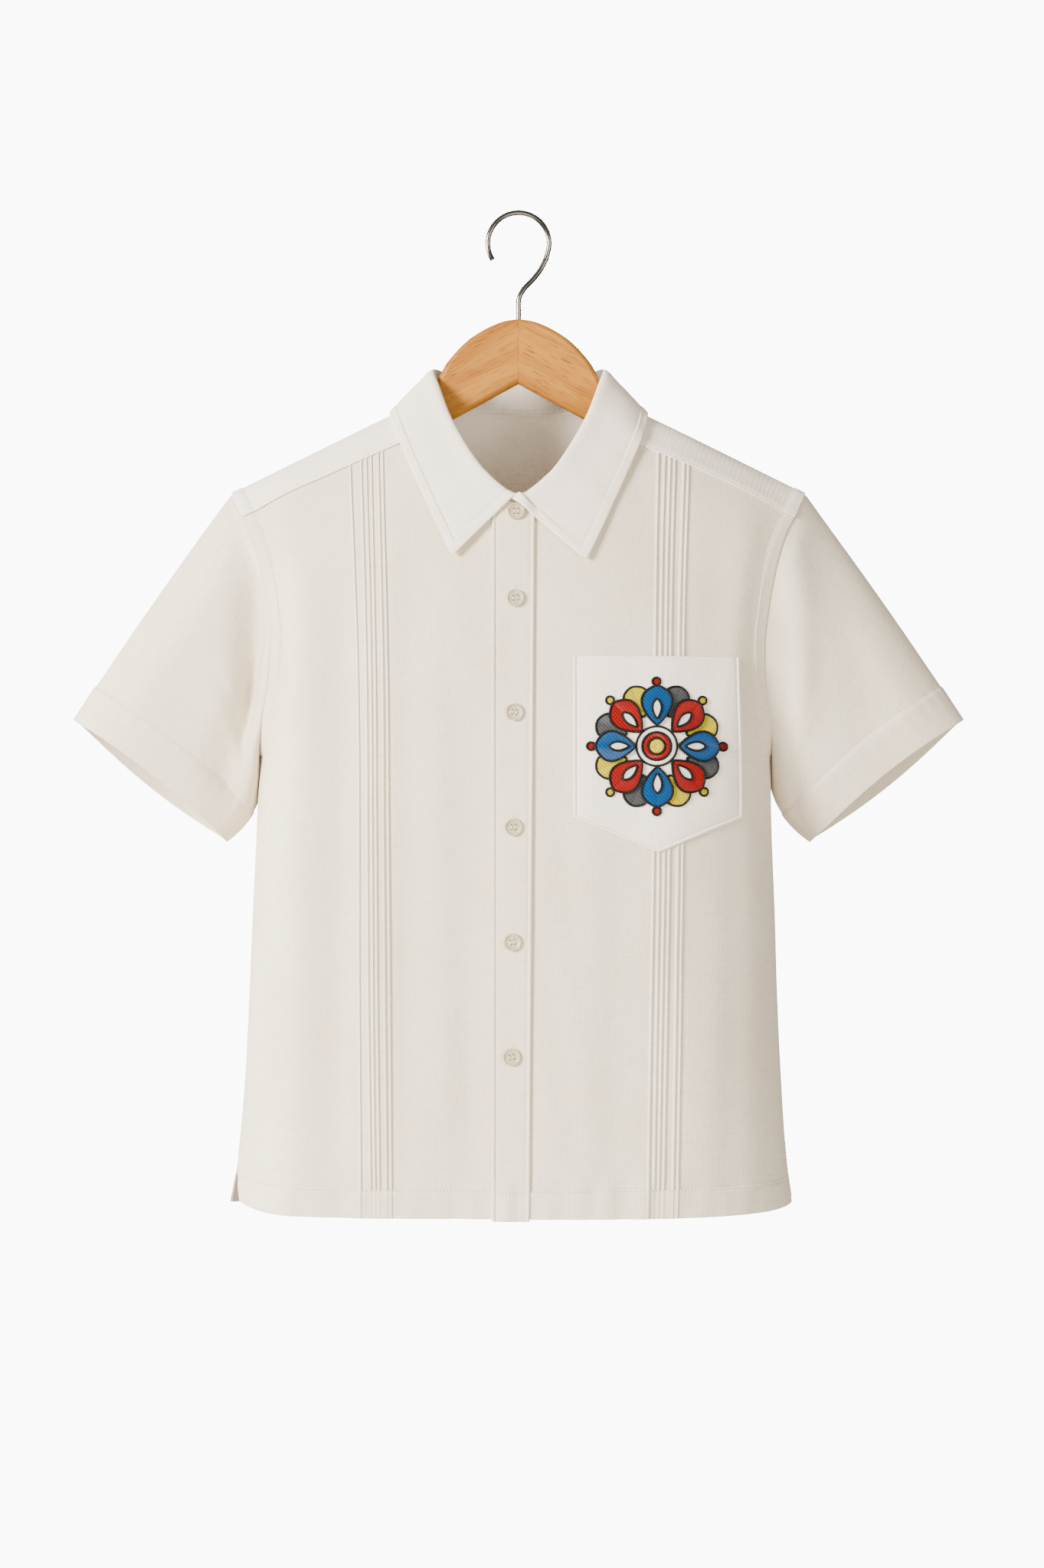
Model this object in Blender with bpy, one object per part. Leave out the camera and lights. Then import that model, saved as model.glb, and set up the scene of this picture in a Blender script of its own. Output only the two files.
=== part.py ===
"""Barong tagalog shirt with short sleeves, hanging on a wooden hanger.

Sizes are in millimetres and are turned into metres when a mesh is made.
X runs to the wearer's left, the shirt's front faces -Y, and +Z is up.
The origin is the inner crown of the hanger's hook, where a rail carries it.
The wearer's right hand side has hand = -1 and lies at -X.
"""

import math
from collections import namedtuple

import bmesh
import bpy
from mathutils import Vector

# ---------------------------------------------------------------- sizes
MM = 0.001
WALL = 1.2
HEM_WALL = 1.9
SEAM_GAP = 0.3
HALF_GAP = SEAM_GAP / 2
FRONT = -1
BACK = 1

HEM_Z = -798.0
HEM_BAND = 22.0
VENT_TOP = -747.0
VENT_FLARE = 3.6
VENT_POWER = 1.4
HEM_STEP = 0.2
ARMPIT_Z = -440.0
BACK_YOKE_Z = -240.0

RIDGE_Z = -173.9
RIDGE_X = 130.0
RIDGE_SLOPE = 0.5005
RIDGE_ROUND = 30.0
ROLL_Z = -360.0
ROLL_POWER = {FRONT: 1.7, BACK: 2.4}
SPREAD_POWER = 2.6

YOKE_SEAM_X = 95.1
YOKE_SEAM_Z = -188.9
YOKE_SEAM_SLOPE = 0.461
NECK_CORNER_X = 64.3
YOKE_COLUMNS = 6
YOKE_BACK_STEPS = 7
YOKE_FRONT_TURNS = (1.0, 0.62, 0.3, 0.1, 0.0)
YOKE_BACK_TURNS = (0.05, 0.18, 0.5, 1.0)
YOKE_NECK_FRONT = (0.0, 0.38, 0.7, 0.9, 1.0)
YOKE_NECK_BACK = (0.05, 0.14, 0.25, 0.38)

PLACKET_LEFT = -20.3
PLACKET_MIDDLE = -10.0
PLACKET_RIGHT_TOP = 12.6
PLACKET_RIGHT_HEM = 8.4
PLACKET_LAP = 4.0
PLACKET_WALL = 1.5
PLACKET_DROP = 1.6

TUCK_RISE = 0.8
TUCK_RUN = 1.8
TUCK_CREST = 0.2
TUCK_FALL = 0.4
TUCK_MID_Z = -470.0
FRONT_PARTS = (0.12, 0.25, 0.38, 0.502, 0.74)
FRONT_SPANS = 7
FRONT_CROWD = 0.85
BACK_SPANS = 11
BACK_CROWD = 0.9
LAP_LIFT = SEAM_GAP + 0.1
LEVEL = 0.01
AT_EDGE = 0.999

NECK_STEPS = 6
NECK_DIP = 0.6
NECK_DIP_X = 14.0

POCKET_LEFT = 42.5
POCKET_RIGHT = 171.0
POCKET_TOP_Z = -362.0
POCKET_SIDE_Z = -487.0
POCKET_TIP_Z = -514.0
POCKET_TIP_X = 107.5
POCKET_LIFT_EDGE = 0.7
POCKET_LIFT = 1.5
POCKET_EASE = 15.0
POCKET_COLUMNS = 12
POCKET_ROWS = 8

BUTTON_RADIUS = 6.8
BUTTON_THICK = 2.2
BUTTON_RIM = 1.3
BUTTON_DISH = 0.5
BUTTON_SIDES = 18
BUTTON_TOP_X = -1.7
BUTTON_HEM_X = -5.2
BUTTON_COLLAR_Z = -248.6
BUTTON_FIRST_Z = -316.5
BUTTON_STEP = 88.9
BUTTON_COUNT = 6

STAND_WALL = 1.2
STAND_SEAT = 0.45
COLLAR_WALL = 1.4
COLLAR_ROLL = 2.4
COLLAR_BULGE = 0.7
COLLAR_TURN = 0.62
COLLAR_TUCKED = 0.4
COLLAR_SHOULDER = (4.0, 0.8)
COLLAR_FALL_PARTS = (0.30, 0.55, 0.78, 1.0)
STAND_LEAN = 0.8
COLLAR_ENDS = 2
LEFT_LEAF_DROP = 3.0
LEFT_LEAF_REACH = 1.4
LEAF_CLEAR = 1.3
LEAF_OVER_LEFT = -24.0
LEAF_OVER_RIGHT = 16.0
CURVE_STEPS = 2

SLEEVE_TOP_X = 358.8
SLEEVE_TOP_Z = -408.2
SLEEVE_LOW_X = 235.6
SLEEVE_LOW_Z = -506.3
SLEEVE_HALF_DEPTH = 34.0
SLEEVE_TILT = 7.2
SLEEVE_DROP = 1.0
SLEEVE_BAND = 33.0
SLEEVE_LENGTH = 175.0
SLEEVE_SQUARE = 0.9
SLEEVE_PARTS = (0.0, 0.07, 0.18, 0.32, 0.46, 0.60, 0.73)
SLEEVE_STEP = 0.004
SLEEVE_LAST = (0.93, 1.0)
SLEEVE_CLEAR = 1.2
SLEEVE_CLEAR_Z = 4.0
MITRE_LIMIT = 0.2
ARMHOLE_GAP = (SEAM_GAP + 0.056, -0.083)
SLEEVE_BESIDE_X = 232.0
SLEEVE_UNDER = (-18.0, -24.0)
SLEEVE_OVER = (2.6, 1.8)
SLEEVE_PUFF = 7.0
SLEEVE_FALL = (0.56, -0.83)

HANGER_APEX_Z = -85.0
HANGER_NOTCH_Z = -137.0
HANGER_UNDER_SLOPE = 0.542
HANGER_THICK = 14.0
HANGER_EDGE = 5.0
HANGER_TIP_X = 206.0
HANGER_TIP_HIGH = 18.0
HANGER_CLEAR = 0.8
HANGER_ARM_X = 69.2
HANGER_SPANS = 7
HANGER_TIP_RINGS = ((2.6, 1.0), (4.4, 3.0))
HOOK_WIRE = 1.55
HOOK_RADIUS = 24.8
HOOK_DEPTH = 26.0
HOOK_ARC_START = -18.0
HOOK_ARC_END = 212.0
HOOK_ARC_POINTS = 18
HOOK_STRAIGHT_LOW = -92.0
HOOK_STRAIGHT_TOP = -80.0
BORE_SIDES = 16

# ---------------------------------------------------------------- tables
BodyRow = namedtuple("BodyRow", "z half_width front back shift")
BODY = (
    BodyRow(-805, 226, 108, 101, -5.0),
    BodyRow(-760, 221, 109, 101, -5.0),
    BodyRow(-694, 216, 110, 101, -4.3),
    BodyRow(-632, 213, 111, 100, -4.2),
    BodyRow(-570, 210.8, 111, 98, -3.8),
    BodyRow(-487, 207.4, 110, 96, -3.4),
    BodyRow(-440, 206.3, 107, 95, -2.5),
    BodyRow(-360, 206, 100, 95, -0.8),
    BodyRow(-320, 206, 98, 95, 0.0),
    BodyRow(-100, 206, 98, 95, 0.0),
)
SpreadRow = namedtuple("SpreadRow", "z reach root")
SPREAD = (
    SpreadRow(-440, 206.3, 0.42),
    SpreadRow(-430, 210.0, 0.44),
    SpreadRow(-404, 222.0, 0.52),
    SpreadRow(-371, 240, 0.70),
    SpreadRow(-345, 255, 0.85),
    SpreadRow(-303, 275, 1.0),
    SpreadRow(-254, 300, 1.0),
    SpreadRow(-100, 330, 1.0),
)
ArmRow = namedtuple("ArmRow", "z front back")
ARMHOLE = (
    ArmRow(-440, 206.3, 206.3),
    ArmRow(-430, 204.6, 206.0),
    ArmRow(-404, 200.0, 205.0),
    ArmRow(-373, 195.6, 204.5),
    ArmRow(-347, 195.0, 205.0),
    ArmRow(-320, 198.0, 207.5),
    ArmRow(-300, 201.5, 210.0),
    ArmRow(-275, 208.0, 214.5),
    ArmRow(-260, 213.5, 218.0),
    ArmRow(-245, 222.0, 222.5),
    ArmRow(-226, 231.5, 231.5),
)
TuckRow = namedtuple("TuckRow", "yoke mid hem")
TUCKS = {
    -1: (
        TuckRow(107.9, 100.9, 98.3),
        TuckRow(111.3, 104.4, 101.9),
        TuckRow(116.8, 110.1, 107.5),
        TuckRow(120.7, 113.4, 110.9),
        TuckRow(124.7, 117.0, 114.3),
        TuckRow(133.2, 123.8, 122.0),
    ),
    1: (
        TuckRow(111.4, 105.2, 100.3),
        TuckRow(116.3, 109.2, 104.5),
        TuckRow(120.5, 113.3, 108.1),
        TuckRow(124.2, 117.0, 111.9),
        TuckRow(131.2, 123.4, 119.0),
        TuckRow(134.8, 126.9, 122.6),
    ),
}
# Half of the collar, from the front edge round to the middle of the back.
# neck is where the stand is sewn, fold is the crest, edge is the leaf's hem.
CollarRow = namedtuple(
    "CollarRow", "neck_x neck_z side fold_x fold_y fold_z stand_gap edge_x edge_z lift"
)
COLLAR = (
    CollarRow(0.2, -240.6, FRONT, 0.2, -78.5, -232.6, 0.4, 48.0, -281.0, 5.0),
    CollarRow(5.0, -239.2, FRONT, 5.0, -78.0, -232.0, 5.0, 52.0, -281.5, 5.0),
    CollarRow(24.0, -228.5, FRONT, 19.0, -73.5, -221.0, 5.5, 61.5, -262.5, 4.0),
    CollarRow(41.0, -212.5, FRONT, 34.5, -64.0, -202.5, 7.0, 70.5, -243.0, 3.0),
    CollarRow(59.0, -186.0, FRONT, 52.5, -42.0, -170.5, 7.0, 86.5, -207.0, 2.6),
    CollarRow(68.5, -163.5, FRONT, 63.0, -18.0, -141.5, 7.0, 97.5, -179.5, 3.2),
    CollarRow(72.5, 0.0, FRONT, 67.5, 2.0, -125.5, 7.0, 102.5, 0.0, 3.6),
    CollarRow(65.0, -153.0, BACK, 60.5, 26.0, -123.8, 7.0, 93.0, -171.0, 2.6),
    CollarRow(49.0, -155.5, BACK, 46.0, 43.0, -123.5, 7.0, 66.0, -172.0, 2.8),
    CollarRow(26.0, -156.8, BACK, 24.5, 53.5, -123.5, 7.0, 34.0, -172.5, 3.0),
    CollarRow(0.0, -157.2, BACK, 0.0, 57.0, -123.5, 7.0, 0.0, -172.5, 3.4),
)
HangerRow = namedtuple("HangerRow", "x top")
HANGER_HEAD = (
    HangerRow(0.0, -85.0),
    HangerRow(12.0, -86.9),
    HangerRow(25.0, -92.1),
    HangerRow(37.5, -99.6),
    HangerRow(46.2, -107.0),
    HangerRow(53.0, -114.4),
    HangerRow(59.2, -122.4),
    HangerRow(65.6, -134.5),
)
HookRow = namedtuple("HookRow", "x z")
HOOK_NECK = (
    HookRow(0.0, -70.5),
    HookRow(1.2, -65.5),
    HookRow(5.0, -59.5),
    HookRow(11.6, -52.6),
    HookRow(17.8, -44.6),
    HookRow(22.4, -35.6),
)
BODY_LEVELS = (
    -798.0, -789.0, -776.6, -775.4, -747.0, -700.0, -645.0, -590.0, -540.0, -495.0,
    -462.0, -440.0, -431.0, -416.0, -396.0, -370.0, -340.0, -308.0, -280.0, -262.0,
)

FLIP = Vector((-1.0, 1.0, 1.0))

# ---------------------------------------------------------------- finishes
Finish = namedtuple("Finish", "colour roughness metallic")
CLOTH = Finish((0.80, 0.77, 0.71), 0.85, 0.0)
TRIM = Finish((0.76, 0.72, 0.64), 0.80, 0.0)
BUTTON = Finish((0.74, 0.71, 0.62), 0.35, 0.0)
BEECH = Finish((0.67, 0.40, 0.18), 0.45, 0.0)
STEEL = Finish((0.62, 0.61, 0.60), 0.22, 1.0)


# ---------------------------------------------------------------- numbers
def smooth_read(table, key, name, value):
    """Read a column at a key value, on a cubic that never overshoots its rows."""
    keys = [getattr(row, key) for row in table]
    cells = [getattr(row, name) for row in table]
    if value <= keys[0]:
        return cells[0]
    if value >= keys[-1]:
        return cells[-1]
    last = len(keys) - 1
    low = max(i for i in range(last) if keys[i] <= value)
    rises = [(cells[i + 1] - cells[i]) / (keys[i + 1] - keys[i]) for i in range(last)]
    slope_low = _middle_slope(rises, low - 1, low)
    slope_high = _middle_slope(rises, low, low + 1)
    width = keys[low + 1] - keys[low]
    t = (value - keys[low]) / width
    start = cells[low] * (1 + 2 * t) * (1 - t) ** 2 + slope_low * width * t * (1 - t) ** 2
    end = cells[low + 1] * t * t * (3 - 2 * t) - slope_high * width * t * t * (1 - t)
    return start + end


def _middle_slope(rises, before, after):
    """Slope at a row between two rises: zero at a turn, else their harmonic mean."""
    if before < 0:
        return rises[0]
    if after >= len(rises):
        return rises[-1]
    if rises[before] * rises[after] <= 0:
        return 0.0
    return 2 * rises[before] * rises[after] / (rises[before] + rises[after])


def blend(a, b, t):
    """Value a part t of the way from a to b."""
    return a + (b - a) * t


def refine(line, steps):
    """Smooth curve through points, with steps points for each span."""
    result = []
    last = len(line) - 1
    for i in range(last):
        before = line[max(i - 1, 0)]
        after = line[min(i + 2, last)]
        a, b = line[i], line[i + 1]
        for k in range(steps):
            t = k / steps
            slope_a = (b - before) * 0.5
            slope_b = (after - a) * 0.5
            h = (2 * t ** 3 - 3 * t * t + 1, t ** 3 - 2 * t * t + t)
            g = (3 * t * t - 2 * t ** 3, t ** 3 - t * t)
            result.append(a * h[0] + slope_a * h[1] + b * g[0] + slope_b * g[1])
    result.append(line[-1])
    return result


# ---------------------------------------------------------------- body form
def ridge_height(x):
    """Height of the shoulder ridge at x, rounded off under the neck."""
    return RIDGE_Z - RIDGE_SLOPE * (math.hypot(x, RIDGE_ROUND) - RIDGE_X)


def body_depth(z, side):
    """Full depth of the body at a height, in front or behind."""
    return smooth_read(BODY, "z", "front" if side == FRONT else "back", z)


def body_shift(z):
    """Sideways shift of the body's middle at a height."""
    return smooth_read(BODY, "z", "shift", z)


def reach_and_root(z):
    """Half width that the rounding runs to, and the exponent of its root."""
    if z <= SPREAD[0].z:
        return smooth_read(BODY, "z", "half_width", z), SPREAD[0].root
    return smooth_read(SPREAD, "z", "reach", z), smooth_read(SPREAD, "z", "root", z)


def rounding(x, z):
    """Part of the full depth left at x, from 1 in the middle to 0 at the side."""
    reach, root = reach_and_root(z)
    across = min(abs(x - body_shift(z)) / reach, 1.0)
    return max(1 - across ** SPREAD_POWER, 0.0) ** root


def body_surface(x, z, side):
    """Point on the outer surface of the body, in front or behind."""
    power = ROLL_POWER[side]
    climb = (z - ROLL_Z) / (ridge_height(x) - ROLL_Z)
    climb = min(max(climb, 0.0), 1.0)
    roll = (1 - climb ** power) ** (1 / power)
    return Vector((x, side * body_depth(z, side) * roll * rounding(x, z), z))


def shoulder_surface(x, turn):
    """Point above x at an angle from the ridge: negative in front, positive behind."""
    side = FRONT if turn < 0 else BACK
    power = 2 / ROLL_POWER[side]
    z = ROLL_Z + (ridge_height(x) - ROLL_Z) * math.cos(abs(turn)) ** power
    depth = body_depth(z, side) * rounding(x, z) * math.sin(abs(turn)) ** power
    return Vector((x, side * depth, z))


def shoulder_turn(x, z, side):
    """Angle from the ridge at which the shoulder above x has a height."""
    climb = (z - ROLL_Z) / (ridge_height(x) - ROLL_Z)
    return side * math.acos(min(max(climb, 0.0), 1.0) ** (ROLL_POWER[side] / 2))


def turn_of(point):
    """Angle from the ridge of a point on the shoulder, read from its depth near the ridge."""
    side = FRONT if point.y < 0 else BACK
    part = abs(point.y) / (body_depth(point.z, side) * rounding(point.x, point.z))
    if part > 0.5:
        return shoulder_turn(point.x, point.z, side)
    return side * math.asin(part ** (ROLL_POWER[side] / 2))


def outside(point):
    """How far a point is past the body's surface, as a number that is 0 on it."""
    x, y, z = point
    side = FRONT if y < 0 else BACK
    power = ROLL_POWER[side]
    depth = body_depth(z, side)
    climb = max((z - ROLL_Z) / (ridge_height(x) - ROLL_Z), 0.0)
    if z > ARMPIT_Z + 30:
        out = abs(y) / (depth * max(rounding(x, z), 0.02))
        return out ** power + climb ** power - 1
    reach, root = reach_and_root(z)
    across = abs(x - body_shift(z)) / reach
    roll = max(1 - climb ** power, 1e-6) ** (1 / power)
    return (abs(y) / (depth * roll)) ** (1 / root) + across ** SPREAD_POWER - 1


def body_gradient(point, step=0.05):
    """Gradient of outside() by central differences."""
    slopes = []
    for axis in range(3):
        ahead = Vector(point)
        behind = Vector(point)
        ahead[axis] += step
        behind[axis] -= step
        slopes.append((outside(ahead) - outside(behind)) / (2 * step))
    return Vector(slopes)


def body_normal(point):
    """Outward unit normal of the body at a point on its surface."""
    return body_gradient(point).normalized()


def lifted(point, height):
    """Point moved out or in along the normal to lie at a height above the body."""
    result = Vector(point)
    for _ in range(4):
        gradient = body_gradient(result)
        length = max(gradient.length, 1e-6)
        error = height - outside(result) / length
        result += gradient.normalized() * error
    return result


def armhole_x(z, side):
    """Distance of the armhole seam from the middle plane at a height."""
    return smooth_read(ARMHOLE, "z", "front" if side == FRONT else "back", z)


def edge_x(z, side):
    """Distance of the side seam or the armhole from the body's middle."""
    if z <= ARMPIT_Z:
        return smooth_read(BODY, "z", "half_width", z)
    return armhole_x(z, side)


# ---------------------------------------------------------------- mesh making
def finish_material(name, finish):
    """Principled material of a node."""
    material = bpy.data.materials.new(name)
    material.use_nodes = True
    shader = material.node_tree.nodes["Principled BSDF"]
    shader.inputs["Base Color"].default_value = (*finish.colour, 1.0)
    shader.inputs["Roughness"].default_value = finish.roughness
    shader.inputs["Metallic"].default_value = finish.metallic
    material.diffuse_color = (*finish.colour, 1.0)
    return material


def add_object(name, mesh, finish, sharp_degrees=40):
    """Link a mesh as a smooth shaded object with its own material."""
    mesh.materials.append(finish_material(name, finish))
    mesh.shade_smooth()
    mesh.set_sharp_from_angle(angle=math.radians(sharp_degrees))
    made = bpy.data.objects.new(name, mesh)
    bpy.context.collection.objects.link(made)
    return made


def mesh_from(name, points, faces):
    """Closed mesh from points in millimetres, with its faces turned outward."""
    shape = bmesh.new()
    corners = [shape.verts.new(Vector(p) * MM) for p in points]
    for face in faces:
        shape.faces.new([corners[i] for i in face])
    bmesh.ops.recalc_face_normals(shape, faces=shape.faces)
    if shape.calc_volume(signed=True) < 0:
        bmesh.ops.reverse_faces(shape, faces=shape.faces)
    mesh = bpy.data.meshes.new(name)
    shape.to_mesh(mesh)
    shape.free()
    return mesh


def wall_mesh(name, outer, inner, round_columns=False):
    """Closed wall between two grids of points, given as rows of columns."""
    rows = len(outer)
    columns = len(outer[0])
    points = [p for row in outer for p in row] + [p for row in inner for p in row]
    back = rows * columns
    spans = columns if round_columns else columns - 1
    faces = []
    for i in range(rows - 1):
        for j in range(spans):
            k = (j + 1) % columns
            a, b = i * columns + j, i * columns + k
            c, d = (i + 1) * columns + k, (i + 1) * columns + j
            faces.append((a, b, c, d))
            faces.append((back + d, back + c, back + b, back + a))
    for i, forward in ((0, False), (rows - 1, True)):
        for j in range(spans):
            k = (j + 1) % columns
            a, b = i * columns + j, i * columns + k
            ring = (a, b, back + b, back + a)
            faces.append(ring[::-1] if forward else ring)
    if not round_columns:
        for j, forward in ((0, True), (columns - 1, False)):
            for i in range(rows - 1):
                a, b = i * columns + j, (i + 1) * columns + j
                ring = (a, b, back + b, back + a)
                faces.append(ring[::-1] if forward else ring)
    return mesh_from(name, points, faces)


def walled(name, grid, normals, thickness, finish, relief=None):
    """Cloth wall: the grid is its outer side, raised by relief, over a plain inside."""
    outer = []
    inner = []
    for i, row in enumerate(grid):
        outer.append([])
        inner.append([])
        for j, point in enumerate(row):
            rise = relief[i][j] if relief else 0.0
            outer[-1].append(point + normals[i][j] * rise)
            inner[-1].append(point - normals[i][j] * thickness[i][j])
    return add_object(name, wall_mesh(name, outer, inner), finish)


def grid_normals(grid, ringed=False):
    """Unit normals of a grid by differences along its rows and columns."""
    rows = len(grid)
    columns = len(grid[0])
    result = []
    for i in range(rows):
        result.append([])
        for j in range(columns):
            if ringed:
                along = grid[i][(j + 1) % columns] - grid[i][j - 1]
            else:
                along = grid[i][min(j + 1, columns - 1)] - grid[i][max(j - 1, 0)]
            up = grid[min(i + 1, rows - 1)][j] - grid[max(i - 1, 0)][j]
            result[-1].append(along.cross(up).normalized())
    return result


# ---------------------------------------------------------------- panels
def neckline():
    """Fine curve of the neckline on the body, from the front middle to the back."""
    stations = []
    for row in COLLAR:
        if row.neck_z == 0.0:
            stations.append(Vector((row.neck_x, 0.0, ridge_height(row.neck_x))))
        else:
            stations.append(body_surface(row.neck_x, row.neck_z, row.side))
    return [lifted(p, 0.0) for p in refine(stations, NECK_STEPS)]


NECKLINE = neckline()


def neck_front_z(x):
    """Height of the neckline at x, in front."""
    across = max(abs(x), NECKLINE[0].x)
    for a, b in zip(NECKLINE, NECKLINE[1:]):
        if a.x <= across <= b.x:
            seam = blend(a.z, b.z, (across - a.x) / (b.x - a.x))
            return seam - NECK_DIP * max(1 - across / NECK_DIP_X, 0.0)
    return NECKLINE[0].z


def front_top_z(x):
    """Height of a front panel's top edge: the neckline, then the yoke seam."""
    seam = YOKE_SEAM_Z - YOKE_SEAM_SLOPE * (abs(x) - YOKE_SEAM_X) - HALF_GAP
    if abs(x) > NECK_CORNER_X:
        return seam
    return min(neck_front_z(x), seam)


def tuck_x(row, z):
    """Distance of a tuck's crest from the middle plane at a height."""
    top = front_top_z(row.yoke)
    if z > TUCK_MID_Z:
        t = (z - TUCK_MID_Z) / (top - TUCK_MID_Z)
        return blend(row.mid, row.yoke, t * t)
    return blend(row.hem, row.mid, (z - HEM_Z) / (TUCK_MID_Z - HEM_Z))


def placket_right(z):
    """X of the placket's stitched edge at a height."""
    t = (z - HEM_Z) / (neck_front_z(0) - HEM_Z)
    return blend(PLACKET_RIGHT_HEM, PLACKET_RIGHT_TOP, t)


def split_x(z):
    """X where the right front ends and the left front begins, under the placket."""
    return placket_right(z) - PLACKET_LAP


def front_columns(hand):
    """Column laws of a front panel, from the middle out, with each tuck's rise.

    A column is (law, rise), and law(z) gives its distance from the middle plane.
    """
    columns = []
    if hand < 0:
        columns.append((lambda z: -split_x(z) + HALF_GAP, 0.0))
        columns.append((lambda z: 0.0, 0.0))
        columns.append((lambda z: -PLACKET_MIDDLE, 0.0))
        columns.append((lambda z: -PLACKET_LEFT, 0.0))
    else:
        columns.append((lambda z: split_x(z) + HALF_GAP, 0.0))
        columns.append((placket_right, 0.0))
        columns.append((lambda z: -PLACKET_LEFT, 0.0))
    first_tuck = TUCKS[hand][0]
    for part in FRONT_PARTS:
        columns.append((lambda z, p=part: blend(-PLACKET_LEFT, tuck_x(first_tuck, z), p), 0.0))
    lead = -TUCK_RUN if hand > 0 else -TUCK_FALL
    trail = TUCK_FALL if hand > 0 else TUCK_RUN
    crest = -TUCK_CREST if hand > 0 else TUCK_CREST
    for row in TUCKS[hand]:
        for offset, rise in ((lead, 0.0), (crest, TUCK_RISE), (trail, 0.0)):
            columns.append((lambda z, r=row, o=offset: tuck_x(r, z) + o, rise))
    last_tuck = TUCKS[hand][-1]
    for k in range(1, FRONT_SPANS + 1):
        part = math.sin(math.pi / 2 * k / FRONT_SPANS) ** FRONT_CROWD

        def law(z, p=part):
            start = tuck_x(last_tuck, z) + trail
            return blend(start, edge_x(z, FRONT) + hand * body_shift(z), p)

        columns.append((law, 0.0))
    return columns


def column_top(law, hand, top_z):
    """Height at which a column meets the panel's top edge."""
    z = top_z(law(-200.0))
    for _ in range(12):
        z = top_z(hand * law(z))
    return z


def levels_to(top, edge_top):
    """Row heights of a column: level at the hem, following the top edge above."""
    heights = []
    for level in (*BODY_LEVELS, edge_top):
        part = (level - HEM_Z) / (edge_top - HEM_Z)
        heights.append(level + (top - edge_top) * part ** 3)
    return heights


def build_front(hand):
    """Front panel with its tucks, from the lap to the side seam; gives its side edge."""
    name = "front_right" if hand < 0 else "front_left"
    columns = front_columns(hand)
    tops = [column_top(law, hand, front_top_z) for law, _ in columns]
    grid_by_column = []
    for (law, _), top in zip(columns, tops):
        column = []
        for z in levels_to(top, tops[-1]):
            column.append(body_surface(hand * law(z), z, FRONT))
        grid_by_column.append(column)
    seam_column = grid_by_column[-1]
    for point in seam_column:
        if point.z <= ARMPIT_Z + LEVEL:
            point.y = -HALF_GAP
    rows = len(seam_column)
    order = range(len(columns)) if hand > 0 else range(len(columns) - 1, -1, -1)
    grid = [[grid_by_column[j][i] for j in order] for i in range(rows)]
    rises = [[columns[j][1] for j in order] for _ in range(rows)]
    normals = [[seam_normal(p) for p in row] for row in grid]
    thickness = [[hem_thickness(p.z) for p in row] for row in grid]
    walled(name, grid, normals, thickness, CLOTH, rises)
    return seam_column


def seam_normal(point):
    """Outward normal, held straight sideways along the side seam."""
    if abs(point.y) <= HALF_GAP + LEVEL and point.z <= ARMPIT_Z + LEVEL:
        return Vector((math.copysign(1.0, point.x), 0.0, 0.0))
    return body_normal(point)


def hem_thickness(z):
    """Wall thickness at a height: the turned-up hem is thicker."""
    return HEM_WALL if z < HEM_Z + HEM_BAND - HEM_STEP else WALL


def vent_flare(z):
    """How much wider the back panel stands than the front at the side vents."""
    if z >= VENT_TOP:
        return 0.0
    return VENT_FLARE * ((VENT_TOP - z) / (VENT_TOP - HEM_Z)) ** VENT_POWER


def build_back():
    """Back panel from side seam to side seam, up to the yoke; gives its side edges."""
    steps = range(1, BACK_SPANS + 1)
    parts = [math.sin(math.pi / 2 * k / BACK_SPANS) ** BACK_CROWD for k in steps]
    parts = [-p for p in reversed(parts)] + [0.0] + parts
    grid = []
    for level in (*BODY_LEVELS, BACK_YOKE_Z - HALF_GAP):
        row = []
        for part in parts:
            wide = edge_x(level, BACK) + vent_flare(level)
            x = body_shift(level) + part * wide
            reach, _ = reach_and_root(level)
            probe = body_shift(level) + part * min(wide, reach) if level <= ARMPIT_Z else x
            point = body_surface(probe, level, BACK)
            point.x = x
            if level <= ARMPIT_Z and abs(part) >= AT_EDGE:
                point.y = HALF_GAP + 0.5 * vent_flare(level)
            row.append(point)
        grid.append(row[::-1])
    normals = [[seam_normal(p) for p in row] for row in grid]
    for i, row in enumerate(grid):
        if row[0].z <= ARMPIT_Z + LEVEL:
            normals[i][0] = Vector((1.0, 0.0, 0.0))
            normals[i][-1] = Vector((-1.0, 0.0, 0.0))
    thickness = [[hem_thickness(p.z) for p in row] for row in grid]
    walled("back", grid, normals, thickness, CLOTH)
    return {1: [row[0] for row in grid], -1: [row[-1] for row in grid]}


def armhole_turn_x(turn):
    """Distance of the armhole from the middle plane at an angle from the ridge."""
    x = 225.0
    for _ in range(30):
        point = shoulder_surface(x, turn)
        x = armhole_x(point.z, FRONT if turn < 0 else BACK)
    return x


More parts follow.
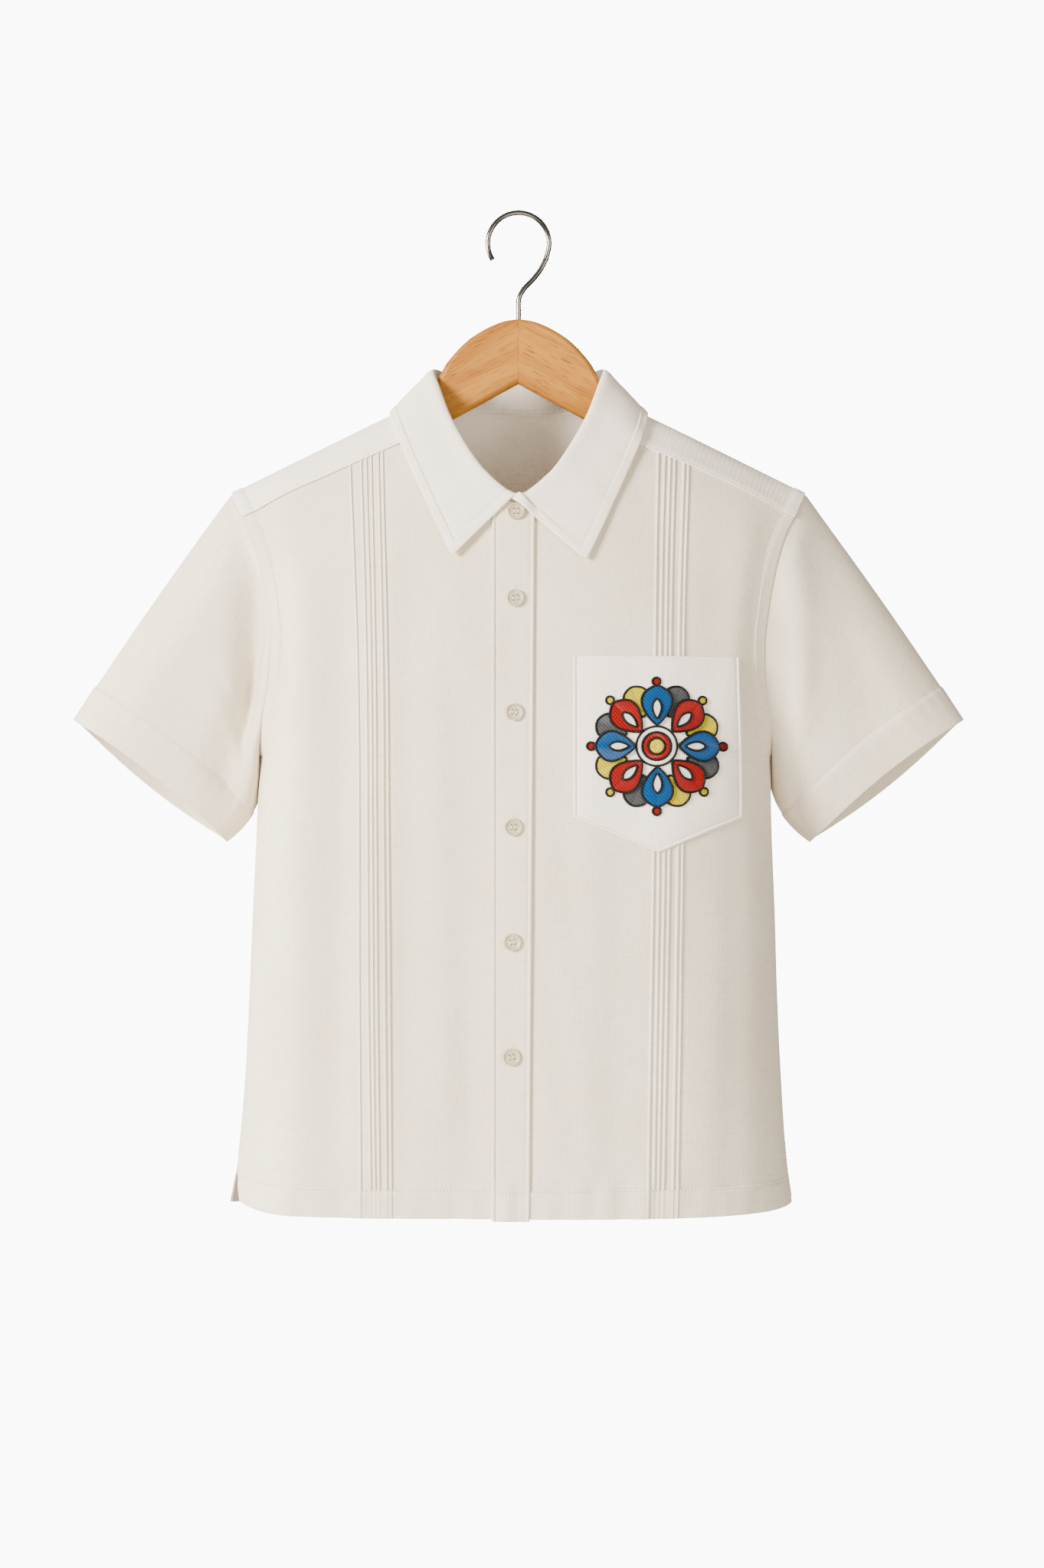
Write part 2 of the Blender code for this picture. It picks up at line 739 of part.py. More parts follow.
def build_yoke():
    """Yoke, from one front seam over the shoulders and behind the neck to the other."""
    front_end = column_top(front_columns(1)[-1][0], 1, front_top_z) + SEAM_GAP
    front_turn = -0.3
    for _ in range(30):
        front_turn = shoulder_turn(armhole_turn_x(front_turn), front_end, FRONT)
    back_end = BACK_YOKE_Z + HALF_GAP
    back_turn = 0.3
    for _ in range(30):
        back_turn = shoulder_turn(armhole_turn_x(back_turn), back_end, BACK)
    neck = [p for p in NECKLINE if p.x >= NECK_CORNER_X or p.y > 0]
    corner_z = front_top_z(NECK_CORNER_X + LEVEL) + SEAM_GAP
    neck_edge = [(NECK_CORNER_X, shoulder_turn(NECK_CORNER_X, corner_z, FRONT))]
    neck_edge += [(p.x, turn_of(p)) for p in neck if p.z > corner_z]

    turns = [front_turn * part for part in YOKE_FRONT_TURNS]
    turns += [back_turn * part for part in YOKE_BACK_TURNS]
    rim = [(armhole_turn_x(turn), turn) for turn in turns]
    corner = len(rim)
    last_rim_x = rim[-1][0]
    for k in range(1, YOKE_BACK_STEPS + 1):
        x = blend(last_rim_x, 0.0, k / YOKE_BACK_STEPS)
        rim.append((x, shoulder_turn(x, back_end, BACK)))
    ridge = min(range(len(neck_edge)), key=lambda k: abs(neck_edge[k][1]))
    behind = neck_edge[ridge:]
    back_parts = list(YOKE_NECK_BACK)
    for k in range(1, YOKE_BACK_STEPS + 1):
        back_parts.append(blend(YOKE_NECK_BACK[-1], 1.0, k / YOKE_BACK_STEPS))
    neck_pairs = [along_pairs(neck_edge[:ridge + 1], part) for part in YOKE_NECK_FRONT]
    neck_pairs += [along_pairs(behind, part) for part in back_parts]
    half = []
    for i, (rim_x, rim_turn) in enumerate(rim):
        neck_x, neck_turn = neck_pairs[i]
        line = []
        for k in range(YOKE_COLUMNS + 1):
            t = k / YOKE_COLUMNS
            x = blend(neck_x, rim_x, t)
            turn = blend(neck_turn, rim_turn, t)
            if i == 0:
                turn = shoulder_turn(x, front_top_z(x + LEVEL) + SEAM_GAP, FRONT)
            line.append((x, turn))
        half.append(line)
    grid = []
    for hand, lines in ((-1, half), (1, half[-2::-1])):
        for line in lines:
            grid.append([shoulder_surface(hand * x, turn) for x, turn in line])
    normals = [[body_normal(p) for p in row] for row in grid]
    thickness = [[WALL for _ in row] for row in grid]
    walled("yoke", grid, normals, thickness, CLOTH)
    edges = {}
    for hand in (-1, 1):
        edges[hand] = [shoulder_surface(hand * x, turn) for x, turn in rim[:corner]]
    return edges


def along_pairs(steps, part):
    """Pair a part of the way along a list of (x, turn) pairs, by index."""
    place = min(max(part, 0.0), 1.0) * (len(steps) - 1)
    low = min(int(place), len(steps) - 2)
    before, after = steps[low], steps[low + 1]
    t = place - low
    return (blend(before[0], after[0], t), blend(before[1], after[1], t))


def build_placket():
    """Placket band, lapped over the right front and sewn along the left front."""
    fixed = (PLACKET_LEFT, PLACKET_MIDDLE, 0.0)
    laws = (*[lambda z, x=x: x for x in fixed], split_x, placket_right)
    tops = [column_top(law, 1, front_top_z) for law in laws]
    edge_top = column_top(front_columns(1)[-1][0], 1, front_top_z)
    outer = []
    inner = []
    rows = len(BODY_LEVELS) + 1
    for i in range(rows):
        outer.append([])
        inner.append([])
        for law, top in zip(laws, tops):
            z = levels_to(top - 1.0, edge_top)[i]
            point = body_surface(law(z), z, FRONT)
            normal = body_normal(point)
            if i == 0:
                point = point - Vector((0.0, 0.0, PLACKET_DROP))
            inner[-1].append(point + normal * LAP_LIFT)
            outer[-1].append(point + normal * (LAP_LIFT + PLACKET_WALL))
    add_object("placket", wall_mesh("placket", outer, inner), TRIM)


def build_pocket():
    """Patch pocket, lifted over the tucks and pointed at its foot."""
    half = (POCKET_RIGHT - POCKET_LEFT) / 2
    outer = []
    inner = []
    for i in range(POCKET_ROWS + 1):
        t = i / POCKET_ROWS
        outer.append([])
        inner.append([])
        for j in range(POCKET_COLUMNS + 1):
            x = blend(POCKET_LEFT, POCKET_RIGHT, j / POCKET_COLUMNS)
            drop = 1 - abs(x - POCKET_TIP_X) / half
            foot = blend(POCKET_SIDE_Z, POCKET_TIP_Z, max(drop, 0.0))
            z = blend(foot, POCKET_TOP_Z, t)
            point = body_surface(x, z, FRONT)
            normal = body_normal(point)
            from_edge = min(x - POCKET_LEFT, POCKET_RIGHT - x)
            lift = blend(POCKET_LIFT_EDGE, POCKET_LIFT, min(from_edge / POCKET_EASE, 1.0))
            inner[-1].append(point + normal * lift)
            outer[-1].append(point + normal * (lift + WALL))
    add_object("pocket", wall_mesh("pocket", outer, inner), CLOTH)


# ---------------------------------------------------------------- collar
def both_sides(half):
    """Points of the whole collar from half of them, from right front to left front."""
    return [p * FLIP for p in half] + half[-2::-1]


def leaf_floor(point):
    """Least height of the leaf's outer side above the body at a point."""
    if LEAF_OVER_LEFT < point.x < LEAF_OVER_RIGHT and point.y < 0:
        return COLLAR_WALL + LEAF_CLEAR + PLACKET_WALL
    return COLLAR_WALL + LEAF_CLEAR


def leaf_edge(drop, reach):
    """Edge of one leaf from front to back, hanging lower by drop at its point."""
    edges = []
    for row in COLLAR:
        if row.edge_z == 0.0:
            edge = Vector((row.edge_x, 4.0, ridge_height(row.edge_x)))
        elif row.side == FRONT:
            edge = body_surface(row.edge_x + reach, row.edge_z - drop, row.side)
        else:
            edge = body_surface(row.edge_x, row.edge_z, row.side)
        edges.append(lifted(edge, row.lift))
    return edges


def collar_curves():
    """Neck, fold, stand gap and edge curves round the whole collar."""
    necks = both_sides(NECKLINE[::NECK_STEPS // CURVE_STEPS])
    folds = [Vector((row.fold_x, row.fold_y, row.fold_z)) for row in COLLAR]
    gaps = [Vector((row.stand_gap, 0.0, 0.0)) for row in COLLAR]
    tops = [abs(gap.x) for gap in both_sides(refine(gaps, CURVE_STEPS))]
    right = refine(leaf_edge(0.0, 0.0), CURVE_STEPS)
    left = refine(leaf_edge(LEFT_LEAF_DROP, LEFT_LEAF_REACH), CURVE_STEPS)
    edges = [p * FLIP for p in right] + left[-2::-1]
    return necks, both_sides(refine(folds, CURVE_STEPS)), tops, edges


def collar_frame(necks, folds, i):
    """Directions at a station: up the stand, and out of it."""
    last = len(folds) - 1
    ahead = folds[min(i + 1, last)] - folds[max(i - 1, 0)]
    rise = (folds[i] - necks[i]).normalized()
    out = ahead.cross(rise).normalized()
    middle = Vector((0.0, 0.0, folds[i].z))
    if out.dot(folds[i] - middle) < 0:
        out = -out
    return ahead, rise, out


def build_stand():
    """Stand, butted against the neckline all round."""
    necks, folds, gaps, _ = collar_curves()
    outer = []
    inner = []
    last = len(folds) - 1
    for i, fold in enumerate(folds):
        _, rise, out = collar_frame(necks, folds, i)
        body = body_normal(necks[i])
        along = necks[min(i + 1, last)] - necks[max(i - 1, 0)]
        inward = body.cross(along).normalized()
        if inward.dot(rise) < 0:
            inward = -inward
        low = necks[i] + inward * STAND_SEAT
        low_inner = low - body * (STAND_WALL / max(body.dot(out), STAND_LEAN))
        top = fold - rise * gaps[i]
        top_inner = top - out * STAND_WALL
        outer.append([blend(low, top, t) for t in (0.0, 0.5, 1.0)])
        inner.append([blend(low_inner, top_inner, t) for t in (0.0, 0.5, 1.0)])
    add_object("collar_stand", wall_mesh("collar_stand", outer, inner), CLOTH)


def leaf_line(necks, folds, gap, edges, i):
    """Outer section of the fall at a station, from the stand's top over to its edge."""
    ahead, rise, out = collar_frame(necks, folds, i)
    fold = folds[i]
    down = (edges[i] - fold).normalized()
    face = ahead.cross(down).normalized()
    if face.dot(out) < 0:
        face = -face
    start = fold - rise * (gap - SEAM_GAP)
    crest = fold + out * (COLLAR_ROLL * 0.5)
    shoulder = fold + out * COLLAR_ROLL
    shoulder += down * COLLAR_SHOULDER[0] + face * COLLAR_SHOULDER[1]
    turned = blend(start, crest, COLLAR_TURN) - out * COLLAR_TUCKED
    line = [start, turned, crest, shoulder]
    for t in COLLAR_FALL_PARTS:
        bulge = COLLAR_BULGE * math.sin(math.pi * t)
        line.append(blend(fold + out * COLLAR_ROLL, edges[i], t) + face * bulge)
    for j in range(3, len(line)):
        floor = leaf_floor(line[j])
        if outside(line[j]) / max(body_gradient(line[j]).length, 1e-6) < floor:
            line[j] = lifted(line[j], floor)
    return line, out


def build_fall():
    """Fall of the collar, rolled over the stand and pointed in front."""
    necks, folds, gaps, edges = collar_curves()
    outer = []
    outs = []
    for i in range(COLLAR_ENDS, len(folds) - COLLAR_ENDS):
        line, out = leaf_line(necks, folds, gaps[i], edges, i)
        outer.append(line)
        outs.append(out)
    normals = grid_normals(outer)
    middle = len(outer) // 2
    if normals[middle][-2].dot(outs[middle]) < 0:
        normals = [[-n for n in row] for row in normals]
    inner = []
    for i, line in enumerate(outer):
        inner.append([p - normals[i][j] * COLLAR_WALL for j, p in enumerate(line)])
    add_object("collar", wall_mesh("collar", outer, inner), CLOTH)


# ---------------------------------------------------------------- sleeves
def sleeve_hem(around):
    """Point of the sleeve's own hem at an angle round from its top, on the left side."""
    middle = Vector(((SLEEVE_TOP_X + SLEEVE_LOW_X) / 2, 0.0, (SLEEVE_TOP_Z + SLEEVE_LOW_Z) / 2))
    top = Vector((SLEEVE_TOP_X, 0.0, SLEEVE_TOP_Z))
    swing = -math.sin(around)
    hem = middle + (top - middle) * math.cos(around)
    hem.y = SLEEVE_HALF_DEPTH * math.copysign(abs(swing) ** SLEEVE_SQUARE, swing)
    fall = Vector((SLEEVE_FALL[0], 0.0, SLEEVE_FALL[1]))
    return hem + fall * (SLEEVE_TILT * swing + SLEEVE_DROP)


def sleeve_pull(around):
    """How far the cloth between armhole and hem stands off the straight line."""
    under = max(-math.cos(around), 0.0) ** 3
    over = max(math.cos(around), 0.0) ** 2
    across = SLEEVE_UNDER[0] * under + SLEEVE_OVER[0] * over
    up = SLEEVE_UNDER[1] * under + SLEEVE_OVER[1] * over
    return Vector((across, -SLEEVE_PUFF * math.sin(around), up))


def turns_round(loop):
    """Angle of each point of an armhole: 0 at its top, half a turn at its foot."""
    lengths = [0.0]
    for a, b in zip(loop, loop[1:] + loop[:1]):
        lengths.append(lengths[-1] + (b - a).length)
    low = min(range(len(loop)), key=lambda i: loop[i].z)
    turns = []
    for i in range(len(loop)):
        if i <= low:
            turns.append(math.pi * lengths[i] / lengths[low])
        else:
            rest = (lengths[i] - lengths[low]) / (lengths[-1] - lengths[low])
            turns.append(math.pi * (1 + rest))
    return turns


def build_sleeve(hand, loop):
    """Sleeve lofted from the armhole loop to its own hem, open at both ends."""
    band = 1 - SLEEVE_BAND / SLEEVE_LENGTH
    parts = (*SLEEVE_PARTS, band - SLEEVE_STEP, band + SLEEVE_STEP, *SLEEVE_LAST)
    side = Vector((hand, 1.0, 1.0))
    grid = [[] for _ in parts]
    for start, around in zip(loop, turns_round(loop)):
        hem = sleeve_hem(around) * side
        control = (start + hem) / 2 + sleeve_pull(around) * side
        for k, t in enumerate(parts):
            point = start * (1 - t) ** 2 + control * (2 * t * (1 - t)) + hem * t * t
            grid[k].append(point if k == 0 else beside_body(point))
    normals = sleeve_normals(grid)
    inner = []
    for k, row in enumerate(grid):
        thick = HEM_WALL if parts[k] > band else WALL
        inner.append([p - normals[k][i] * thick for i, p in enumerate(row)])
    name = "sleeve_right" if hand < 0 else "sleeve_left"
    add_object(name, wall_mesh(name, grid, inner, round_columns=True), CLOTH)


def sleeve_normals(grid):
    """Outward normals of the sleeve, mitred with the body's along the armhole."""
    normals = grid_normals(grid, ringed=True)
    row = len(grid) // 2
    middle = sum(grid[row], Vector()) / len(grid[row])
    if normals[row][0].dot(grid[row][0] - middle) < 0:
        normals = [[-n for n in line] for line in normals]
    for i, point in enumerate(grid[0]):
        body = body_normal(point)
        if body.dot(normals[0][i]) > MITRE_LIMIT:
            shared = body + normals[0][i]
            normals[0][i] = shared * (2 / shared.length_squared)
    return normals


def beside_body(point):
    """The point, moved out where it would touch the body beside the underarm."""
    if point.z >= ARMPIT_Z + SLEEVE_CLEAR_Z or abs(point.x) >= SLEEVE_BESIDE_X:
        return point
    height = outside(point) / max(body_gradient(point).length, 1e-6)
    return lifted(point, SLEEVE_CLEAR) if height < SLEEVE_CLEAR else point


# ---------------------------------------------------------------- buttons
def build_button(index):
    """Turned button with a raised rim, seated on the placket."""
    if index == 0:
        z = BUTTON_COLLAR_Z
    else:
        z = BUTTON_FIRST_Z - BUTTON_STEP * (index - 1)
    last = BUTTON_FIRST_Z - BUTTON_STEP * (BUTTON_COUNT - 2)
    x = blend(BUTTON_TOP_X, BUTTON_HEM_X, (BUTTON_COLLAR_Z - z) / (BUTTON_COLLAR_Z - last))
    point = body_surface(x, z, FRONT)
    normal = body_normal(point)
    base = point + normal * (LAP_LIFT + PLACKET_WALL + LAP_LIFT)
    profile = (
        (BUTTON_RADIUS - 0.7, 0.0),
        (BUTTON_RADIUS, 0.8),
        (BUTTON_RADIUS - 0.3, BUTTON_THICK - 0.1),
        (BUTTON_RADIUS - BUTTON_RIM, BUTTON_THICK),
        (BUTTON_RADIUS - BUTTON_RIM - 1.0, BUTTON_THICK - BUTTON_DISH),
    )
    side = normal.orthogonal().normalized()
    other = normal.cross(side)
    points = []
    for radius, height in profile:
        for k in range(BUTTON_SIDES):
            angle = 2 * math.pi * k / BUTTON_SIDES
            reach = side * math.cos(angle) + other * math.sin(angle)
            points.append(base + reach * radius + normal * height)
    faces = []
    for ring in range(len(profile) - 1):
        for k in range(BUTTON_SIDES):
            n = (k + 1) % BUTTON_SIDES
            low = ring * BUTTON_SIDES
            high = low + BUTTON_SIDES
            faces.append((low + k, low + n, high + n, high + k))
    faces.append(tuple(range(BUTTON_SIDES))[::-1])
    top = (len(profile) - 1) * BUTTON_SIDES
    faces.append(tuple(range(top, top + BUTTON_SIDES)))
    name = f"button_{index + 1}"
    add_object(name, mesh_from(name, points, faces), BUTTON, sharp_degrees=60)


# ---------------------------------------------------------------- hanger
def hanger_outline():
    """Stations along one arm as (x, top, bottom)."""
    stations = []
    for row in HANGER_HEAD:
        under = HANGER_NOTCH_Z - HANGER_UNDER_SLOPE * row.x
        stations.append((row.x, row.top, under))
    drop = (WALL + SEAM_GAP + HANGER_CLEAR) * math.hypot(1, RIDGE_SLOPE)
    tip_under = ridge_height(HANGER_TIP_X) - drop - HANGER_TIP_HIGH
    for k in range(HANGER_SPANS):
        t = k / (HANGER_SPANS - 1)
        x = blend(HANGER_ARM_X, HANGER_TIP_X, t)
        under = HANGER_NOTCH_Z - HANGER_UNDER_SLOPE * x
        under = blend(under, max(under, tip_under), t)
        stations.append((x, ridge_height(x) - drop, under))
    return stations


def hanger_section(top, under, inset=0.0):
    """Section of the arm as (y, z) points, with rounded corners."""
    half = HANGER_THICK / 2 - inset
    radius = min(HANGER_EDGE, half - 0.4)
    points = []
    high = top - inset - radius
    low = under + inset + radius
    across = half - radius
    for corner, (y, z) in enumerate(((across, high), (-across, high), (-across, low), (across, low))):
        for k in range(4):
            angle = math.radians(90 * corner + 30 * k)
            points.append((y + radius * math.cos(angle), z + radius * math.sin(angle)))
    return points


def build_hanger(hand):
    """One half of the hanger, from the mitre at the middle to the arm's tip."""
    stations = hanger_outline()
    rings = []
    for x, top, under in stations:
        place = hand * max(x, HALF_GAP)
        rings.append([Vector((place, y, z)) for y, z in hanger_section(top, under)])
    tip_x, top, under = stations[-1]
    for step, inset in HANGER_TIP_RINGS:
        place = hand * (tip_x + step)
        section = hanger_section(top - step * RIDGE_SLOPE, under, inset)
        rings.append([Vector((place, y, z)) for y, z in section])
    count = len(rings[0])
    points = [p for ring in rings for p in ring]
    faces = []
    for i in range(len(rings) - 1):
        for k in range(count):
            n = (k + 1) % count
            low = i * count
            high = low + count
            faces.append((low + k, low + n, high + n, high + k))
    faces.append(tuple(range(count))[::-1])
    top_ring = (len(rings) - 1) * count
    faces.append(tuple(range(top_ring, top_ring + count)))
    name = "hanger_right" if hand < 0 else "hanger_left"
    return add_object(name, mesh_from(name, points, faces), BEECH)


def bore_hanger(arms):
    """Cut the blind hole for the hook's shank at the mitre."""
    shape = bmesh.new()
    size = (HOOK_WIRE + SEAM_GAP) * MM
    depth = 2 * (HOOK_DEPTH + 1.0) * MM
    bmesh.ops.create_cone(
        shape, cap_ends=True, segments=BORE_SIDES, radius1=size, radius2=size, depth=depth
    )
    bmesh.ops.translate(shape, verts=shape.verts, vec=(0.0, 0.0, HANGER_APEX_Z * MM))
    mesh = bpy.data.meshes.new("hook_bore")
    shape.to_mesh(mesh)
    shape.free()
    cutter = bpy.data.objects.new("hook_bore", mesh)
    bpy.context.collection.objects.link(cutter)
    cutter.hide_render = True
    cutter.display_type = "WIRE"
    for arm in arms:
        cut = arm.modifiers.new("hook_bore", "BOOLEAN")
        cut.operation = "DIFFERENCE"
        cut.solver = "EXACT"
        cut.object = cutter


def build_hook():
    """Steel hook: shank in the wood, swan neck, and loop over the rail."""
    straight = (HANGER_APEX_Z - HOOK_DEPTH, HOOK_STRAIGHT_LOW, HOOK_STRAIGHT_TOP)
    route = [Vector((0.0, 0.0, z)) for z in straight]
    route += [Vector((row.x, 0.0, row.z)) for row in HOOK_NECK]
    centre = Vector((0.0, 0.0, -(HOOK_RADIUS - HOOK_WIRE)))
    line = [route[0]] + refine(route[1:], 2)
    for k in range(HOOK_ARC_POINTS):
        angle = math.radians(blend(HOOK_ARC_START, HOOK_ARC_END, k / (HOOK_ARC_POINTS - 1)))
        line.append(centre + Vector((math.cos(angle), 0.0, math.sin(angle))) * HOOK_RADIUS)
    curve = bpy.data.curves.new("hook", "CURVE")
    curve.dimensions = "3D"
    curve.bevel_depth = HOOK_WIRE * MM
    curve.bevel_resolution = 2
    curve.use_fill_caps = True
    spline = curve.splines.new("POLY")
    spline.points.add(len(line) - 1)
    for spot, place in zip(spline.points, line):
        spot.co = (*(place * MM), 1.0)
    curve.materials.append(finish_material("hook", STEEL))
    made = bpy.data.objects.new("hook", curve)
    bpy.context.collection.objects.link(made)


# ---------------------------------------------------------------- assembly
def armhole_loop(hand, yoke_edge, front_seam, back_seam):
    """Points round an armhole, from the ridge down the front and up the back."""
    ridge = min(range(len(yoke_edge)), key=lambda i: abs(yoke_edge[i].y))
    over_front = yoke_edge[ridge::-1]
    over_back = yoke_edge[:ridge:-1]
    front = [p for p in front_seam[::-1] if p.z > ARMPIT_Z + 1]
    back = [p for p in back_seam if p.z > ARMPIT_Z + 1]
    low = Vector((front_seam[0].x, 0.0, ARMPIT_Z))
    low.x = hand * armhole_x(ARMPIT_Z, FRONT) + body_shift(ARMPIT_Z)
    loop = over_front + front + [low] + back + over_back
    return loop


def clear_objects():
    """Empty the scene of what was in it."""
    for item in list(bpy.data.objects):
        bpy.data.objects.remove(item, do_unlink=True)


def main():
    """Build the shirt and its hanger."""
    clear_objects()
    fronts = {hand: build_front(hand) for hand in (-1, 1)}
    back_seams = build_back()
    yoke_edges = build_yoke()
    build_placket()
    build_pocket()
    build_stand()
    build_fall()
    for hand in (-1, 1):
        loop = armhole_loop(hand, yoke_edges[hand], fronts[hand], back_seams[hand])
        gap = Vector((hand * ARMHOLE_GAP[0], 0.0, ARMHOLE_GAP[1]))
        build_sleeve(hand, [p + gap for p in loop])
    for index in range(BUTTON_COUNT):
        build_button(index)
    bore_hanger([build_hanger(hand) for hand in (-1, 1)])
    build_hook()


main()
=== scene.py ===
"""Barong tagalog shirt with short sleeves, on a beech hanger with a steel hook.

Sizes are in millimetres until a mesh is made. X runs to the wearer's left, the
shirt's front faces -Y, +Z is up, and the origin is the inner crown of the hook.
A place on the shirt is given by its x, its height z and its side, front or back.
"""

import logging
import math
from dataclasses import dataclass, field
from enum import Enum
from typing import Any, Iterable, Mapping, Sequence

import bmesh
import bpy
import numpy as np
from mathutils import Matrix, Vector


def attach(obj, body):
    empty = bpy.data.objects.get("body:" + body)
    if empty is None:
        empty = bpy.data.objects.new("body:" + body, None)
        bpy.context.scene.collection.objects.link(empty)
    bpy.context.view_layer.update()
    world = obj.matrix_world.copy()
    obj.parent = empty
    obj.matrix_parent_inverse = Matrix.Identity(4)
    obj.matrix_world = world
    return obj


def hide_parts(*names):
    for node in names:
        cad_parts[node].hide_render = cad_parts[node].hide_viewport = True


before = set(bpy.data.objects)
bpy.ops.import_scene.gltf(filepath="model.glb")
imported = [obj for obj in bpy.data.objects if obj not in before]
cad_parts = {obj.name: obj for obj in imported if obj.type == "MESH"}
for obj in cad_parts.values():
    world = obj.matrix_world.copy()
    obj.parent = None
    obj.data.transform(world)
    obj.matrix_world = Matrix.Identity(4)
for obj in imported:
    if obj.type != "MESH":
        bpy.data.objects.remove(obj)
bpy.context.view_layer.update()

Array = np.ndarray
Output = tuple[bpy.types.Node, Any]
LOG = logging.getLogger("barong")
MM = 0.001


class Side(Enum):
    """Side of the shirt, with the sign of Y on it."""

    FRONT = -1
    BACK = 1


class Hand(Enum):
    """The wearer's right or left, with the sign of X on it."""

    RIGHT = -1
    LEFT = 1

    @property
    def label(self) -> str:
        """Name of the hand in a piece's name."""
        return self.name.lower()


class Slot(Enum):
    """Names of material slots; nothing in the script uses them."""

    CLOTH = "cloth"
    BUTTONS = "buttons"
    BEECH = "beech"
    STEEL = "steel"


# ------------------------------------------------------------------ numbers
def blend(a: Any, b: Any, t: Any) -> Any:
    """Value a part t of the way from a to b."""
    return a + (b - a) * t


def ease(t: Any) -> Any:
    """Smooth step from 0 to 1."""
    t = np.clip(t, 0.0, 1.0)
    return t * t * (3 - 2 * t)


def unit(vectors: Array) -> Array:
    """Vectors at length 1."""
    return vectors / np.maximum(np.linalg.norm(vectors, axis=-1, keepdims=True), 1e-9)


def stack(*parts: Any) -> Array:
    """Coordinates joined into points."""
    return np.stack(np.broadcast_arrays(*parts), axis=-1).astype(float)


def refine(line: Array, steps: int) -> Array:
    """Smooth curve through points, with steps points for each span."""
    ahead = np.concatenate((line[2:], line[-1:]))
    behind = np.concatenate((line[:1], line[:-2]))
    a, b = line[:-1, None], line[1:, None]
    t = (np.arange(steps) / steps)[None, :, None]
    slope_a = (b - behind[:, None]) * 0.5
    slope_b = (ahead[:, None] - a) * 0.5
    curve = a * (2 * t**3 - 3 * t * t + 1) + slope_a * (t**3 - 2 * t * t + t)
    curve = curve + b * (3 * t * t - 2 * t**3) + slope_b * (t**3 - t * t)
    return np.concatenate((curve.reshape(-1, line.shape[-1]), line[-1:]))


def lengths(line: Array) -> Array:
    """Distance of each point of a line from its start, along it."""
    steps = np.linalg.norm(np.diff(line, axis=0), axis=1)
    return np.concatenate(([0.0], np.cumsum(steps)))


def places(total: float, start: Sequence[float], end: Sequence[float], count: int) -> Array:
    """Distances along a line: some near its start and its end, and count between.

    Args:
        total: length of the line.
        start: distances from its start, rising from 0.
        end: distances from its end, rising from 0.
        count: number of places between the two groups.

    Returns:
        Rising distances from the start.
    """
    low, high = start[-1], total - end[-1]
    between = np.linspace(low, high, count + 2)[1:-1]
    return np.concatenate((start, between, total - np.array(end[::-1])))


def along(line: Array, at: Array) -> Array:
    """Points of a line at distances from its start."""
    run = lengths(line)
    return np.stack([np.interp(at, run, line[:, k]) for k in range(line.shape[1])], axis=1)


def resample(
    grid: Array, axis: int, start: Sequence[float], end: Sequence[float], count: int
) -> Array:
    """Grid with its points along one axis laid anew by distance, as places() gives them."""
    lines = np.moveaxis(grid, axis, 1)
    made = [along(line, places(lengths(line)[-1], start, end, count)) for line in lines]
    return np.moveaxis(np.array(made), 1, axis)


def distance(points: Array, line: Array) -> Array:
    """Distance of points from a line."""
    flat = points.reshape(-1, 3)
    best = np.full(len(flat), np.inf)
    for a, b in zip(line[:-1], line[1:]):
        run = b - a
        part = np.clip((flat - a) @ run / max(float(run @ run), 1e-9), 0.0, 1.0)
        best = np.minimum(best, np.linalg.norm(flat - a - part[:, None] * run, axis=1))
    return best.reshape(points.shape[:-1])


def nearest(points: Array, lines: Iterable[Array]) -> Array:
    """Distance of points from the nearest of several lines."""
    return np.minimum.reduce([distance(points, line) for line in lines])


def turned_to(vectors: Array, towards: Array) -> Array:
    """Vectors, each reversed where it points away from its partner."""
    away = np.einsum("ij,ij->i", vectors, towards) < 0
    return np.where(away[:, None], -vectors, vectors)


def bump(distance: Any, width: float) -> Any:
    """Round hump, 1 at no distance and gone at about twice the width."""
    return np.exp(-((distance / width) ** 2))


def grid_normals(grid: Array, ringed: bool = False) -> Array:
    """Unit normals of a grid, by the cross product of its columns' and rows' runs."""
    if ringed:
        across = np.roll(grid, -1, axis=1) - np.roll(grid, 1, axis=1)
    else:
        across = np.gradient(grid, axis=1)
    return unit(np.cross(across, np.gradient(grid, axis=0)))


class Table:
    """Named columns of measures against one key, read smoothly without overshoot."""

    SAMPLES = 3000

    def __init__(self, key: str, **columns: Sequence[float]) -> None:
        """Prepare each column.

        Args:
            key: name of the column that is read against, rising.
            columns: cells of every column.
        """
        keys = np.array(columns[key], float)
        self.at = np.linspace(keys[0], keys[-1], self.SAMPLES)
        self.columns = {
            name: self._smooth(keys, np.array(cells, float))
            for name, cells in columns.items()
            if name != key
        }

    def _smooth(self, keys: Array, cells: Array) -> Array:
        """Fine samples of a column, with a flat slope at each turn."""
        rises = np.diff(cells) / np.diff(keys)
        before, after = rises[:-1], rises[1:]
        turning = before * after <= 0
        middle = np.where(
            turning, 0.0, 2 * before * after / np.where(turning, 1.0, before + after)
        )
        slopes = np.concatenate((rises[:1], middle, rises[-1:]))
        low = np.clip(np.searchsorted(keys, self.at, side="right") - 1, 0, len(keys) - 2)
        width = keys[low + 1] - keys[low]
        t = (self.at - keys[low]) / width
        start = cells[low] * (1 + 2 * t) * (1 - t) ** 2 + slopes[low] * width * t * (1 - t) ** 2
        end = cells[low + 1] * t * t * (3 - 2 * t) - slopes[low + 1] * width * t * t * (1 - t)
        return start + end

    def read(self, name: str, value: Any) -> Any:
        """Column's measure at a value of the key."""
        return np.interp(value, self.at, self.columns[name])


